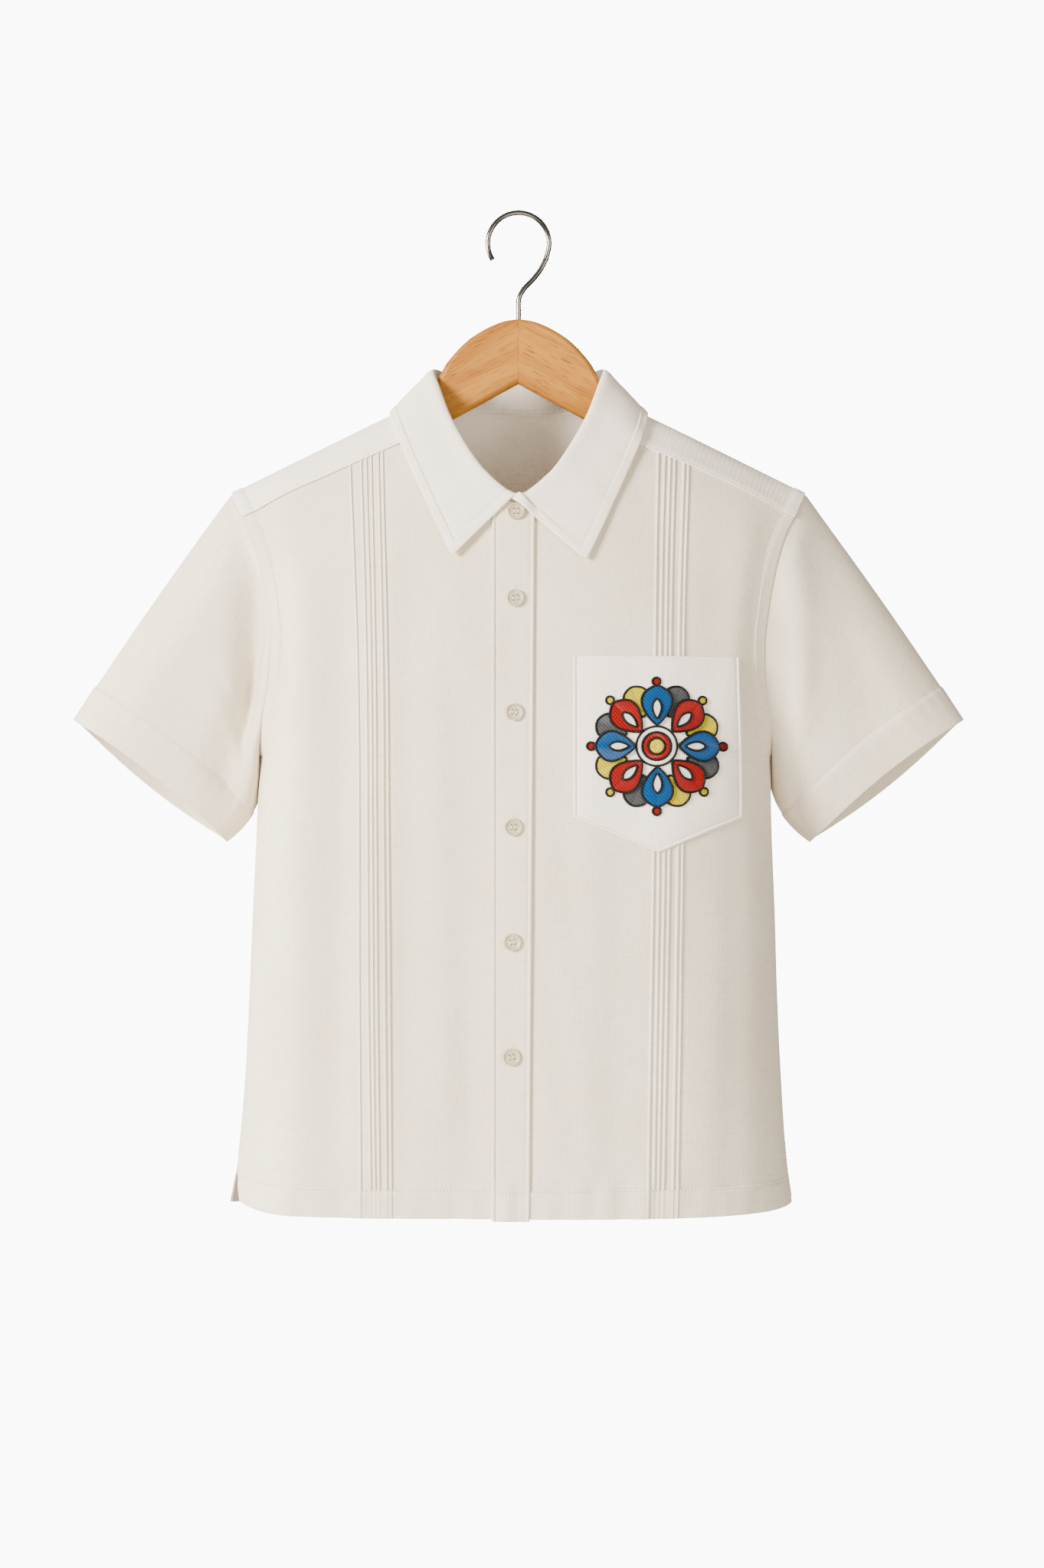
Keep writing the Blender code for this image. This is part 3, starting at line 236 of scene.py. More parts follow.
# ------------------------------------------------------------------ the shirt's form
@dataclass(frozen=True)
class Crease:
    """Soft fold laid between two given places; a rise where its depth is positive."""

    x0: float
    z0: float
    x1: float
    z1: float
    width: float
    depth: float

    def height(self, x: Array, z: Array) -> Array:
        """How far the fold lifts the cloth at places."""
        run = np.array((self.x1 - self.x0, self.z1 - self.z0))
        size = float(run @ run)
        t = ((x - self.x0) * run[0] + (z - self.z0) * run[1]) / size
        held = np.clip(t, 0.0, 1.0)
        gap = np.hypot(x - self.x0 - held * run[0], z - self.z0 - held * run[1])
        return self.depth * np.sin(np.pi * (0.12 + 0.76 * held)) * bump(gap, self.width)


# For each side: x and z of both ends, width and depth of each fold.
CREASES = {
    Side.FRONT: (
        (-175, -230, -181, -1000, 28, 7.5), (-50, -330, -46, -1000, 50, -6.0),
        (164, -230, 168, -1000, 40, 5.5), (-166, -300, -176, -790, 17, 3.2),
        (-137, -330, -141, -800, 13, -3.0), (-114, -320, -109, -790, 11, 1.2),
        (-87, -290, -91, -795, 13, -2.5), (-64, -330, -56, -780, 13, 1.8),
        (-42, -560, -36, -795, 10, -1.2), (-58, -262, -38, -400, 13, 1.1),
        (28, -420, 50, -650, 13, -1.3), (20, -560, 48, -795, 11, -1.3),
        (76, -540, 72, -790, 15, -1.8), (112, -300, 120, -560, 20, 2.6),
        (116, -540, 122, -795, 22, 3.1), (158, -262, 152, -420, 14, -1.7),
        (168, -500, 163, -790, 13, -2.2), (186, -330, 184, -560, 12, 1.4),
    ),
    Side.BACK: (
        (-96, -262, -110, -560, 17, 1.5), (-34, -250, -22, -470, 14, -1.1),
        (42, -255, 64, -690, 16, 1.3), (118, -262, 128, -430, 15, -1.5),
        (-140, -500, -150, -795, 15, -1.3), (-8, -600, 8, -795, 13, 1.2),
        (150, -470, 138, -795, 17, 1.4), (86, -660, 96, -795, 12, -1.1),
        (-74, -640, -88, -795, 12, 1.0),
    ),
}


class Ripple:
    """Slow uneven swell of hung cloth, as a sum of seeded waves."""

    def __init__(self, seed: int, rows: int, wave: tuple[float, float], height: float) -> None:
        """Draw the waves.

        Args:
            seed: seed of the draws.
            rows: number of waves.
            wave: shortest and longest wave.
            height: height of the longest wave.
        """
        draw = np.random.RandomState(seed)
        self.wave = draw.uniform(*wave, rows)
        self.turn = draw.normal(0.0, 0.45, rows)
        self.phase = draw.uniform(0, 2 * math.pi, rows)
        self.rise = height * self.wave / wave[1] / math.sqrt(rows / 2)

    def height(self, x: Array, z: Array) -> Array:
        """Height of the swell at places; it runs mostly up and down."""
        total = np.zeros(np.broadcast(x, z).shape)
        for wave, turn, phase, rise in zip(self.wave, self.turn, self.phase, self.rise):
            run = x * math.cos(turn) + z * math.sin(turn) * 0.6
            total = total + rise * np.sin(2 * math.pi * run / wave + phase)
        return total


BODY_TABLE = Table(
    "z",
    z=(-805, -760, -694, -632, -570, -487, -440, -360, -320, -100),
    half_width=(226, 221, 216, 213, 210.8, 207.4, 206.3, 206, 206, 206),
    front=(108, 109, 110, 111, 111, 110, 107, 100, 98, 98),
    back=(101, 101, 101, 100, 98, 96, 95, 95, 95, 95),
    shift=(-5.0, -5.0, -4.3, -4.2, -3.8, -3.4, -2.5, -0.8, 0.0, 0.0),
)
SPREAD_TABLE = Table(
    "z",
    z=(-440, -430, -404, -371, -345, -303, -254, -100),
    reach=(206.3, 210.0, 222.0, 240, 255, 275, 300, 330),
    root=(0.42, 0.44, 0.52, 0.70, 0.85, 1.0, 1.0, 1.0),
)
ARMHOLE_TABLE = Table(
    "z",
    z=(-440, -430, -404, -373, -347, -320, -300, -275, -260, -245, -226),
    front=(206.3, 204.6, 200.0, 195.6, 195.0, 198.0, 201.5, 208.0, 213.5, 222.0, 231.5),
    back=(206.3, 206.0, 205.0, 204.5, 205.0, 207.5, 210.0, 214.5, 218.0, 222.5, 231.5),
)


@dataclass
class BodyForm:
    """Outer surface of the shirt's body, which every panel is laid on."""

    hem_z: float = -798.0
    hem_band: float = 22.0
    vent_top: float = -747.0
    armpit_z: float = -440.0
    back_yoke_z: float = -240.0
    ridge_z: float = -173.9
    ridge_x: float = 130.0
    ridge_slope: float = 0.5005
    ridge_round: float = 30.0
    roll_z: float = -360.0
    front_roll: float = 1.7
    back_roll: float = 2.4
    spread: float = 2.6
    half_gap: float = 0.15
    felled: float = 9.8
    swell: Ripple = field(default_factory=lambda: Ripple(11, 16, (42, 150), 0.75))
    pucker: Ripple = field(default_factory=lambda: Ripple(5, 12, (9, 28), 0.55))

    @property
    def hem_top(self) -> float:
        """Height of the turned hem's upper edge."""
        return self.hem_z + self.hem_band

    def power(self, side: Any) -> Any:
        """How roundly a side turns over the shoulder."""
        return np.where(np.asarray(side) < 0, self.front_roll, self.back_roll)

    def ridge(self, x: Any) -> Any:
        """Height of the shoulder ridge at x, rounded off under the neck."""
        return self.ridge_z - self.ridge_slope * (np.hypot(x, self.ridge_round) - self.ridge_x)

    def depth(self, z: Any, side: Any) -> Any:
        """Full depth of the body at a height, on a side."""
        front, back = BODY_TABLE.read("front", z), BODY_TABLE.read("back", z)
        return np.where(np.asarray(side) < 0, front, back)

    def shift(self, z: Any) -> Any:
        """Sideways shift of the body's middle at a height."""
        return BODY_TABLE.read("shift", z)

    def reach(self, z: Any) -> Any:
        """Half width that the rounding runs to at a height."""
        low = BODY_TABLE.read("half_width", z)
        return np.where(np.asarray(z) <= self.armpit_z, low, SPREAD_TABLE.read("reach", z))

    def root(self, z: Any) -> Any:
        """Exponent of the rounding at a height."""
        return SPREAD_TABLE.read("root", z)

    def rounding(self, x: Any, z: Any) -> Any:
        """Part of the full depth left at x."""
        across = np.minimum(np.abs(x - self.shift(z)) / self.reach(z), 1.0)
        return np.maximum(1 - across**self.spread, 0.0) ** self.root(z)

    def climb(self, x: Any, z: Any) -> Any:
        """Part of the way up from where the shoulder's roll begins to the ridge."""
        return np.clip((z - self.roll_z) / (self.ridge(x) - self.roll_z), 0.0, 1.0)

    def surface(self, x: Any, z: Any, side: Any) -> Array:
        """Points of the surface at places."""
        power = self.power(side)
        roll = (1 - self.climb(x, z) ** power) ** (1 / power)
        return stack(x, side * self.depth(z, side) * roll * self.rounding(x, z), z)

    def shoulder(self, x: Any, turn: Any) -> Array:
        """Points above x at an angle from the ridge: negative in front."""
        side = np.where(np.asarray(turn) < 0, -1, 1)
        power = 2 / self.power(side)
        rise = (self.ridge(x) - self.roll_z) * np.cos(np.abs(turn)) ** power
        z = self.roll_z + rise
        depth = self.depth(z, side) * self.rounding(x, z) * np.sin(np.abs(turn)) ** power
        return stack(x, side * depth, z)

    def turn(self, x: Any, z: Any, side: Any) -> Any:
        """Angle from the ridge at which the shoulder above x has a height."""
        return side * np.arccos(self.climb(x, z) ** (self.power(side) / 2))

    def turn_of(self, points: Array) -> Array:
        """Angle from the ridge of points on the shoulder, by depth near the ridge."""
        x, y, z = np.moveaxis(points, -1, 0)
        side = np.where(y < 0, -1, 1)
        part = np.abs(y) / (self.depth(z, side) * self.rounding(x, z))
        near = side * np.arcsin(np.clip(part, 0, 1) ** (self.power(side) / 2))
        return np.where(part > 0.5, self.turn(x, z, side), near)

    def outside(self, points: Array) -> Array:
        """How far points are past the surface, as a number that is 0 on it."""
        x, y, z = np.moveaxis(points, -1, 0)
        side = np.where(y < 0, -1, 1)
        power, depth = self.power(side), self.depth(z, side)
        climb = np.maximum((z - self.roll_z) / (self.ridge(x) - self.roll_z), 0.0)
        out = np.abs(y) / (depth * np.maximum(self.rounding(x, z), 0.02))
        high = out**power + climb**power - 1
        across = np.abs(x - self.shift(z)) / self.reach(z)
        roll = np.maximum(1 - climb**power, 1e-6) ** (1 / power)
        low = (np.abs(y) / (depth * roll)) ** (1 / self.root(z)) + across**self.spread - 1
        return np.where(z > self.armpit_z + 30, high, low)

    def gradient(self, points: Array, step: float = 0.05) -> Array:
        """Gradient of outside() by central differences."""
        moves = np.eye(3) * step
        changes = [self.outside(points + move) - self.outside(points - move) for move in moves]
        return np.stack(changes, axis=-1) / (2 * step)

    def normal(self, points: Array) -> Array:
        """Outward unit normals at points of the surface."""
        return unit(self.gradient(points))

    def height(self, points: Array) -> Array:
        """Height of points over the surface, near it."""
        size = np.linalg.norm(self.gradient(points), axis=-1)
        return self.outside(points) / np.maximum(size, 1e-6)

    def lifted(self, points: Array, height: Any) -> Array:
        """Points moved in or out to lie at a height over the surface."""
        result = np.array(points, float)
        for _ in range(4):
            slope = self.gradient(result)
            size = np.maximum(np.linalg.norm(slope, axis=-1, keepdims=True), 1e-6)
            error = np.asarray(height)[..., None] - self.outside(result)[..., None] / size
            result = result + slope / size * error
        return result

    def edge(self, z: Any, side: int) -> Any:
        """Distance of the side seam or the armhole from the body's middle."""
        armhole = ARMHOLE_TABLE.read("front" if side < 0 else "back", z)
        low = BODY_TABLE.read("half_width", z)
        return np.where(np.asarray(z) <= self.armpit_z, low, armhole)

    def angle(self, off: Any, z: Any) -> Any:
        """Angle round the body, a right angle at its side, at a distance off its middle."""
        return np.arcsin(np.clip(off / self.reach(z), 0.0, 1.0) ** (self.spread / 2))

    def across(self, angle: Any, z: Any) -> Any:
        """Signed x of a place at an angle round the body."""
        part = np.abs(np.sin(angle)) ** (2 / self.spread)
        return self.shift(z) + np.sign(angle) * self.reach(z) * part

    def fold(self, x: Any, z: Any, side: int) -> Array:
        """Height of the folds at places, still at the seams and round the neck."""
        total = self.swell.height(x + 300 * side, z)
        for row in CREASES[Side(side)]:
            total = total + Crease(*row).height(x, z)
        seam = self.edge(z, side) - np.abs(x - self.shift(z))
        calm = ease(seam / 30) * ease((np.hypot(x, z + 175) - 68) / 30)
        band = ease((self.hem_top + 16 - z) / 20)
        return calm * (total + band * self.pucker.height(x, z * 0.25))

    def skin(self, x: Any, z: Any, side: int, lift: Any = 0.0) -> tuple[Array, Array]:
        """Points of the folded cloth at places, and the body's normals there.

        Args:
            x: places across.
            z: heights.
            side: -1 in front and 1 behind.
            lift: height over the cloth.

        Returns:
            Points and unit normals.
        """
        base = self.surface(x, z, side)
        out = self.normal(base)
        return base + out * (self.fold(x, z, side) + lift)[..., None], out


BODY = BodyForm()


# ------------------------------------------------------------------ finishes
def linear(code: str) -> tuple[float, float, float, float]:
    """Linear colour of an sRGB hex code."""
    parts = [int(code[k : k + 2], 16) / 255 for k in (1, 3, 5)]
    red, green, blue = (
        p / 12.92 if p <= 0.04045 else ((p + 0.055) / 1.055) ** 2.4 for p in parts
    )
    return (red, green, blue, 1.0)


def add_node(
    tree: bpy.types.NodeTree,
    kind: str,
    settings: Mapping[str, Any] | None = None,
    inputs: Mapping[Any, Any] | None = None,
    links: Mapping[Any, Output] | None = None,
) -> bpy.types.Node:
    """Add a node to a tree.

    Args:
        tree: the node tree.
        kind: the node's type.
        settings: its own properties.
        inputs: values of its sockets.
        links: for each socket, the node and output that feed it.

    Returns:
        The new node.
    """
    made = tree.nodes.new(kind)
    for name, value in (settings or {}).items():
        setattr(made, name, value)
    for name, value in (inputs or {}).items():
        made.inputs[name].default_value = value
    for name, (source, output) in (links or {}).items():
        tree.links.new(source.outputs[output], made.inputs[name])
    return made


class Recipe:
    """Shader nodes of one material, with a short call for each kind that is used."""

    def __init__(self, name: str, **values: Any) -> None:
        """Start a material.

        Args:
            name: name of the real material.
            values: uniform values of the shader's sockets.
        """
        self.material = bpy.data.materials.new(name)
        self.material.use_nodes = True
        self.tree = self.material.node_tree
        self.shader = self.tree.nodes["Principled BSDF"]
        for socket, value in values.items():
            self.shader.inputs[socket.replace("_", " ")].default_value = value

    def add(
        self,
        kind: str,
        output: Any = 0,
        settings: Mapping[str, Any] | None = None,
        inputs: Mapping[Any, Any] | None = None,
        links: Mapping[Any, Output] | None = None,
    ) -> Output:
        """New node, with the output of it that is used."""
        return add_node(self.tree, f"ShaderNode{kind}", settings, inputs, links), output

    def texture(
        self, kind: str, place: Output, settings: Mapping[str, Any] | None = None, **inputs: Any
    ) -> Output:
        """Noise or Wave pattern over places."""
        named = {socket.replace("_", " "): value for socket, value in inputs.items()}
        return self.add(f"Tex{kind}", "Fac", settings, named, {"Vector": place})

    def mapped(self, place: Output, **inputs: Any) -> Output:
        """Places stretched by a Scale or turned by a Rotation."""
        return self.add("Mapping", inputs=inputs, links={"Vector": place})

    def ramp(self, pattern: Output, low: float, high: float) -> Output:
        """Pattern's values between two levels, stretched smoothly over 0 to 1."""
        settings = {"interpolation_type": "SMOOTHSTEP"}
        limits = {"From Min": low, "From Max": high}
        return self.add("MapRange", 0, settings, limits, {"Value": pattern})

    def mix(self, part: Output, first: Any, second: str) -> Output:
        """Colour between two, of which the first may be another node's output."""
        inputs, links = {7: linear(second)}, {0: part}
        if isinstance(first, str):
            inputs[6] = linear(first)
        else:
            links[6] = first
        return self.add("Mix", 2, {"data_type": "RGBA"}, inputs, links)

    def maths(self, operation: str, *terms: Any) -> Output:
        """Result of an operation on numbers and outputs."""
        numbers = {k: term for k, term in enumerate(terms) if not isinstance(term, tuple)}
        outputs = {k: term for k, term in enumerate(terms) if isinstance(term, tuple)}
        return self.add("Math", 0, {"operation": operation}, numbers, outputs)

    def relief(self, height: Output, strength: float, deep: float, invert: bool = False) -> Output:
        """Normals of a relief that is deep, in millimetres, at its full strength."""
        inputs = {"Strength": strength, "Distance": deep * MM}
        return self.add("Bump", 0, {"invert": invert}, inputs, {"Height": height})

    def finish(self, **outputs: Output) -> bpy.types.Material:
        """Feed the shader's sockets, and give the material."""
        for socket, (node, output) in outputs.items():
            self.tree.links.new(node.outputs[output], self.shader.inputs[socket.replace("_", " ")])
        return self.material


@dataclass(frozen=True)
class Linen:
    """Washed linen and cotton in plain weave.

    Matt, with a faint nap: the eye sees fine crossed threads, a few thick weft
    threads that run level, and a slow drift of tone where the cloth was washed.
    """

    name: str = "washed_linen_plain_weave"
    face: str = "#E4DAC8"
    thick_thread: str = "#D1C3AB"
    warm: str = "#DFD3BE"
    # Real threads are 0.4 mm apart, which is too fine to show, so they are drawn at 0.9 mm.
    thread: float = 0.9
    bump: float = 0.32

    def make(self) -> bpy.types.Material:
        """Material of the cloth, on the piece's own UV map in metres."""
        recipe = Recipe(
            self.name,
            Roughness=0.88,
            Sheen_Weight=0.12,
            Sheen_Roughness=0.5,
            IOR=1.46,
            Specular_IOR_Level=0.22,
        )
        flat = recipe.add("UVMap", 0, {"uv_map": "flat"})
        waves = {"Distortion": 1.1, "Detail": 1.0, "Detail_Scale": 0.6}
        waves["Scale"] = math.pi / 10 / (2 * self.thread * MM)
        crossed = [recipe.texture("Wave", flat, {"bands_direction": k}, **waves) for k in "XY"]
        weave = recipe.maths("ADD", *crossed)
        slubs = []
        for stretch in ((55, 950, 1), (900, 60, 1)):
            place = recipe.mapped(flat, Scale=stretch)
            pattern = recipe.texture("Noise", place, Scale=1.0, Detail=2.0, Roughness=0.6)
            slubs.append(recipe.ramp(pattern, 0.42, 0.72))
        slub = recipe.maths("MULTIPLY_ADD", slubs[1], 0.85, slubs[0])
        drift = recipe.texture("Noise", flat, Scale=11.0, Detail=2.0)
        tone = recipe.mix(recipe.ramp(drift, 0.35, 0.7), self.face, self.warm)
        colour = recipe.mix(recipe.maths("MULTIPLY", slub, 0.42), tone, self.thick_thread)
        height = recipe.maths("MULTIPLY_ADD", slub, 0.7, weave)
        return recipe.finish(Base_Color=colour, Normal=recipe.relief(height, self.bump, 0.25))


@dataclass(frozen=True)
class Thread:
    """Spun polyester or rayon thread: the eye sees a low lustre and the ply's twist, whose grooves
    carry painted shade.
    """

    name: str
    colour: str
    # Colour of the painted shade in the grooves of the twist.
    dark: str
    roughness: float = 0.5
    twist: float = 1.6
    sheen: float = 0.15

    def make(self) -> bpy.types.Material:
        """Material of the thread, with its ply drawn at 1.6 mm so that it shows, and painted shade
        in the ply's grooves.
        """
        recipe = Recipe(
            self.name,
            Roughness=self.roughness,
            Sheen_Weight=self.sheen,
            Sheen_Roughness=0.4,
            Specular_IOR_Level=0.2,
        )
        waves = {"Scale": math.pi / 10 / (self.twist * MM), "Distortion": 2.0, "Detail": 1.0}
        place = recipe.add("TexCoord", "Object")
        ply = recipe.texture("Wave", place, {"bands_direction": "DIAGONAL"}, **waves)
        # Painted shade: where the twist's bumps are low, in its grooves, the colour goes dark.
        colour = recipe.mix(recipe.ramp(ply, 0.0, 0.6), self.dark, self.colour)
        return recipe.finish(Base_Color=colour, Normal=recipe.relief(ply, 0.25, 0.1))


@dataclass(frozen=True)
class CastPolyester:
    """Cast polyester button: the eye sees a soft gloss over cloudy, bone-like cream."""

    name: str = "cast_polyester_cream"
    light: str = "#BCB394"
    dark: str = "#A59A77"

    def make(self) -> bpy.types.Material:
        """Material of the buttons."""
        recipe = Recipe(self.name, Roughness=0.34, IOR=1.52, Coat_Weight=0.25, Coat_Roughness=0.18)
        place = recipe.add("TexCoord", "Object")
        cloud = recipe.texture("Noise", place, Scale=210.0, Detail=3.0, Distortion=0.8)
        return recipe.finish(
            Base_Color=recipe.mix(recipe.ramp(cloud, 0.3, 0.65), self.dark, self.light)
        )


@dataclass(frozen=True)
class Beech:
    """Sawn and lacquered beech.

    Satin: the eye sees a warm pale brown, slow bands along the arm, short dark
    flecks and fine pores, all in line with the arm and mirrored at the mitre.
    """

    slope: float
    name: str = "lacquered_beech"
    light: str = "#AE7629"
    dark: str = "#965E1B"
    fleck: str = "#411C05"
    # Scale along, through and across the arm, and detail, of the bands, flecks and pores.
    patterns: tuple[tuple[tuple[int, int, int], float], ...] = (
        ((7, 60, 110), 3.0), ((60, 400, 1700), 1.0), ((60, 900, 1500), 2.0),
    )

    def make(self) -> bpy.types.Material:
        """Material of one arm, with its grain at the arm's slope."""
        recipe = Recipe(self.name, Roughness=0.5, IOR=1.5, Specular_IOR_Level=0.2)
        place = recipe.mapped(recipe.add("TexCoord", "Object"), Rotation=(0.0, self.slope, 0.0))
        grain = []
        for stretch, detail in self.patterns:
            spot = recipe.mapped(place, Scale=stretch)
            values = {"Scale": 1.0, "Detail": detail, "Distortion": 0.35}
            grain.append(recipe.texture("Noise", spot, **values))
        bands, flecks, pores = grain
        pores = recipe.ramp(pores, 0.35, 0.8)
        flecks = recipe.ramp(flecks, 0.59, 0.68)
        colour = recipe.mix(recipe.ramp(bands, 0.34, 0.72), self.light, self.dark)
        colour = recipe.mix(recipe.maths("MULTIPLY", pores, 0.35), colour, self.dark)
        colour = recipe.mix(recipe.maths("MULTIPLY", flecks, 0.6), colour, self.fleck)
        return recipe.finish(Base_Color=colour, Normal=recipe.relief(pores, 0.12, 0.1, True))


@dataclass(frozen=True)
class Steel:
    """Drawn steel wire with bright plate: the eye sees sharp light and dark stripes."""

    name: str = "bright_plated_steel_wire"
    colour: str = "#75726E"

    def make(self) -> bpy.types.Material:
        """Material of the hook, with faint marks of the drawing die."""
        recipe = Recipe(self.name, Metallic=1.0, Base_Color=linear(self.colour))
        place = recipe.add("TexCoord", "Object")
        marks = recipe.texture("Noise", place, Scale=60.0, Detail=2.0)
        limits = {"To Min": 0.15, "To Max": 0.21}
        return recipe.finish(Roughness=recipe.add("MapRange", 0, None, limits, {"Value": marks}))


class Finishes:
    """Every material of the shirt, each made once."""

    def __init__(self) -> None:
        """Make the materials."""
        self.linen = Linen().make()
        self.doubled = Linen("washed_linen_doubled", "#F8F0E5", "#EADDCA", "#F4E9DA").make()
        # The thread's second colour is painted shade in the grooves of its twist.
        self.thread = Thread("core_spun_sewing_thread", "#F3EFE4", "#D9D2C1").make()
        self.buttons = CastPolyester().make()
        arm_slope = math.atan(0.5)
        self.beech = {
            Hand.RIGHT: Beech(arm_slope, "lacquered_beech_right").make(),
            Hand.LEFT: Beech(-arm_slope, "lacquered_beech_left").make(),
        }
        self.steel = Steel().make()


# ------------------------------------------------------------------ making pieces
def deselect_all() -> None:
    """Leave edit mode and select nothing."""
    if bpy.context.object and bpy.context.object.mode != "OBJECT":
        bpy.ops.object.mode_set(mode="OBJECT")
    bpy.ops.object.select_all(action="DESELECT")


def activate(piece: bpy.types.Object) -> None:
    """Select one object alone and make it the active one."""
    deselect_all()
    piece.select_set(True)
    bpy.context.view_layer.objects.active = piece


def keep_place(piece: bpy.types.Object) -> None:
    """Put the object's own place into its mesh, so that it sits at the origin."""
    activate(piece)
    bpy.ops.object.transform_apply(location=True, rotation=True, scale=True)
    deselect_all()


def linked(name: str, data: Any) -> bpy.types.Object:
    """New object of a mesh, lamp or camera, in the scene."""
    made = bpy.data.objects.new(name, data)
    bpy.context.scene.collection.objects.link(made)
    return made


def settle(
    piece: bpy.types.Object,
    material: bpy.types.Material,
    nodes: Iterable[str] = (),
) -> bpy.types.Object:
    """Dress a finished piece and fasten it to the frame.

    Args:
        piece: the piece, with its place in its mesh.
        material: its material.
        nodes: CAD nodes that it stands for.

    Returns:
        The piece.
    """
    piece.data.materials.clear()
    piece.data.materials.append(material)
    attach(piece, "root")
    if nodes:
        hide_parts(*nodes)
    faces = len(piece.data.polygons) if piece.type == "MESH" else 0
    LOG.info("%s: %d faces, stands for %s", piece.name, faces, ", ".join(nodes) or "nothing")
    return piece


def mesh_of(name: str, points: Array, faces: Array, flat: Array | None = None) -> bpy.types.Object:
    """Smooth mesh object from points in millimetres.

    Args:
        name: name of the piece.
        points: its points.
        faces: rows of four corner numbers, all turned the same way.
        flat: place of each corner on the flat cloth, in millimetres.

    Returns:
        The new object, with its faces turned outward.
    """
    first = points[faces[:, 0]]
    volume = 0.0
    for b, c in ((1, 2), (2, 3)):
        turned = np.cross(points[faces[:, b]], points[faces[:, c]])
        volume += float(np.einsum("ij,ij->", first, turned))
    if volume < 0:
        faces = faces[:, ::-1]
        flat = flat[:, ::-1] if flat is not None else None
    mesh = bpy.data.meshes.new(name)
    mesh.from_pydata((points * MM).tolist(), [], faces.tolist())
    if flat is not None:
        layer = mesh.uv_layers.new(name="flat")
        layer.data.foreach_set("uv", (flat * MM).astype(np.float32).ravel())
    mesh.shade_smooth()
    return linked(name, mesh)


@dataclass
class Cloth:
    """Sheet of cloth between an outer and an inner grid of points, with a turned rim."""

    node: str
    outer: Array
    inner: Array
    ringed: bool = False
    rim: float = 0.3
    flat: Array | None = None

    def corners(self) -> tuple[Array, Array]:
        """Corner numbers of the outer faces and their places on the flat cloth."""
        rows, columns = self.outer.shape[:2]
        spans = columns if self.ringed else columns - 1
        i, j = (k.ravel() for k in np.indices((rows - 1, spans)))
        after = (j + 1) % columns
        low, high = i * columns, (i + 1) * columns
        faces = np.stack((low + j, low + after, high + after, high + j), axis=1)
        flat = self.flat_map()
        corners = (flat[i, j], flat[i, j + 1], flat[i + 1, j + 1], flat[i + 1, j])
        return faces, np.stack(corners, axis=1)

    def flat_map(self) -> Array:
        """Place of every point on the flat cloth; a ring has one column more."""
        if self.flat is not None:
            return self.flat
        row = self.outer[self.outer.shape[0] // 2]
        if self.ringed:
            row = np.concatenate((row, row[:1]))
        up = lengths(self.outer[:, self.outer.shape[1] // 2])
        return stack(lengths(row)[None, :], up[:, None])

    def borders(self) -> list[tuple[Array, Array]]:
        """Border loops, each as the rows and the columns of its points."""
        rows, columns = self.outer.shape[:2]
        across, up = np.arange(columns), np.arange(rows)
        if self.ringed:
            return [(0 * across, across), (0 * across + rows - 1, across[::-1])]
        i = np.concatenate((0 * across[:-1], up[:-1], 0 * across[:-1] + rows - 1, up[:0:-1]))
        j = np.concatenate((across[:-1], 0 * up[:-1] + columns - 1, across[:0:-1], 0 * up[:0:-1]))
        return [(i, j)]

    def make(self, material: bpy.types.Material) -> bpy.types.Object:
        """Piece of the sheet, closed all round, that stands for its node."""
        rows, columns = self.outer.shape[:2]
        count = rows * columns
        faces, flat = self.corners()
        points = [self.outer.reshape(-1, 3), self.inner.reshape(-1, 3)]
        all_faces = [faces, faces[:, ::-1] + count]
        all_flat = [flat, flat[:, ::-1]]
        flat_map = self.flat_map()
        start = 2 * count
        for i, j in self.borders():
            near_i = np.clip(i, 1, rows - 2)
            near_j = j if self.ringed else np.clip(j, 1, columns - 2)
            edge = self.outer[i, j]
            away = unit(edge - self.outer[near_i, near_j])
            points.append((edge + self.inner[i, j]) / 2 + away * self.rim)
            here = i * columns + j
            middle = start + np.arange(len(i))
            after, middle_after = np.roll(here, -1), np.roll(middle, -1)
            all_faces.append(np.stack((after, here, middle, middle_after), axis=1))
            all_faces.append(np.stack((middle_after, middle, here + count, after + count), axis=1))
            place = flat_map[i, j]
            next_place = np.roll(place, -1, axis=0)
            strip = np.stack((next_place, place, place, next_place), axis=1)
            all_flat += [strip, strip]
            start += len(i)
        parts = (np.concatenate(k) for k in (points, all_faces, all_flat))
        return settle(mesh_of(f"{self.node}_cloth", *parts), material, (self.node,))


@dataclass(frozen=True)
class Cut:
    """How a sheet was cut flat: width and length in millimetres, and the part of it used."""

    width: float
    length: float
    part: float = 1.0

    def declare(
        self, piece: bpy.types.Object, held: str, rests_on: Sequence[str], with_pieces: Sequence
    ) -> None:
        """Do nothing with the piece: no sheet is declared here."""


@dataclass(frozen=True)
class Seam:
    """Line of stitches over the cloth, with the cloth's normals along it."""

    line: Array
    out: Array
    thick: float = 1.0

    @staticmethod
    def over(points: Array, outs: Array, where: Any, lift: float, thick: float = 1.0) -> "Seam":
        """Seam along some points of a grid, lifted a little from them."""
        return Seam(points[where] + outs[where] * lift, outs[where], thick)


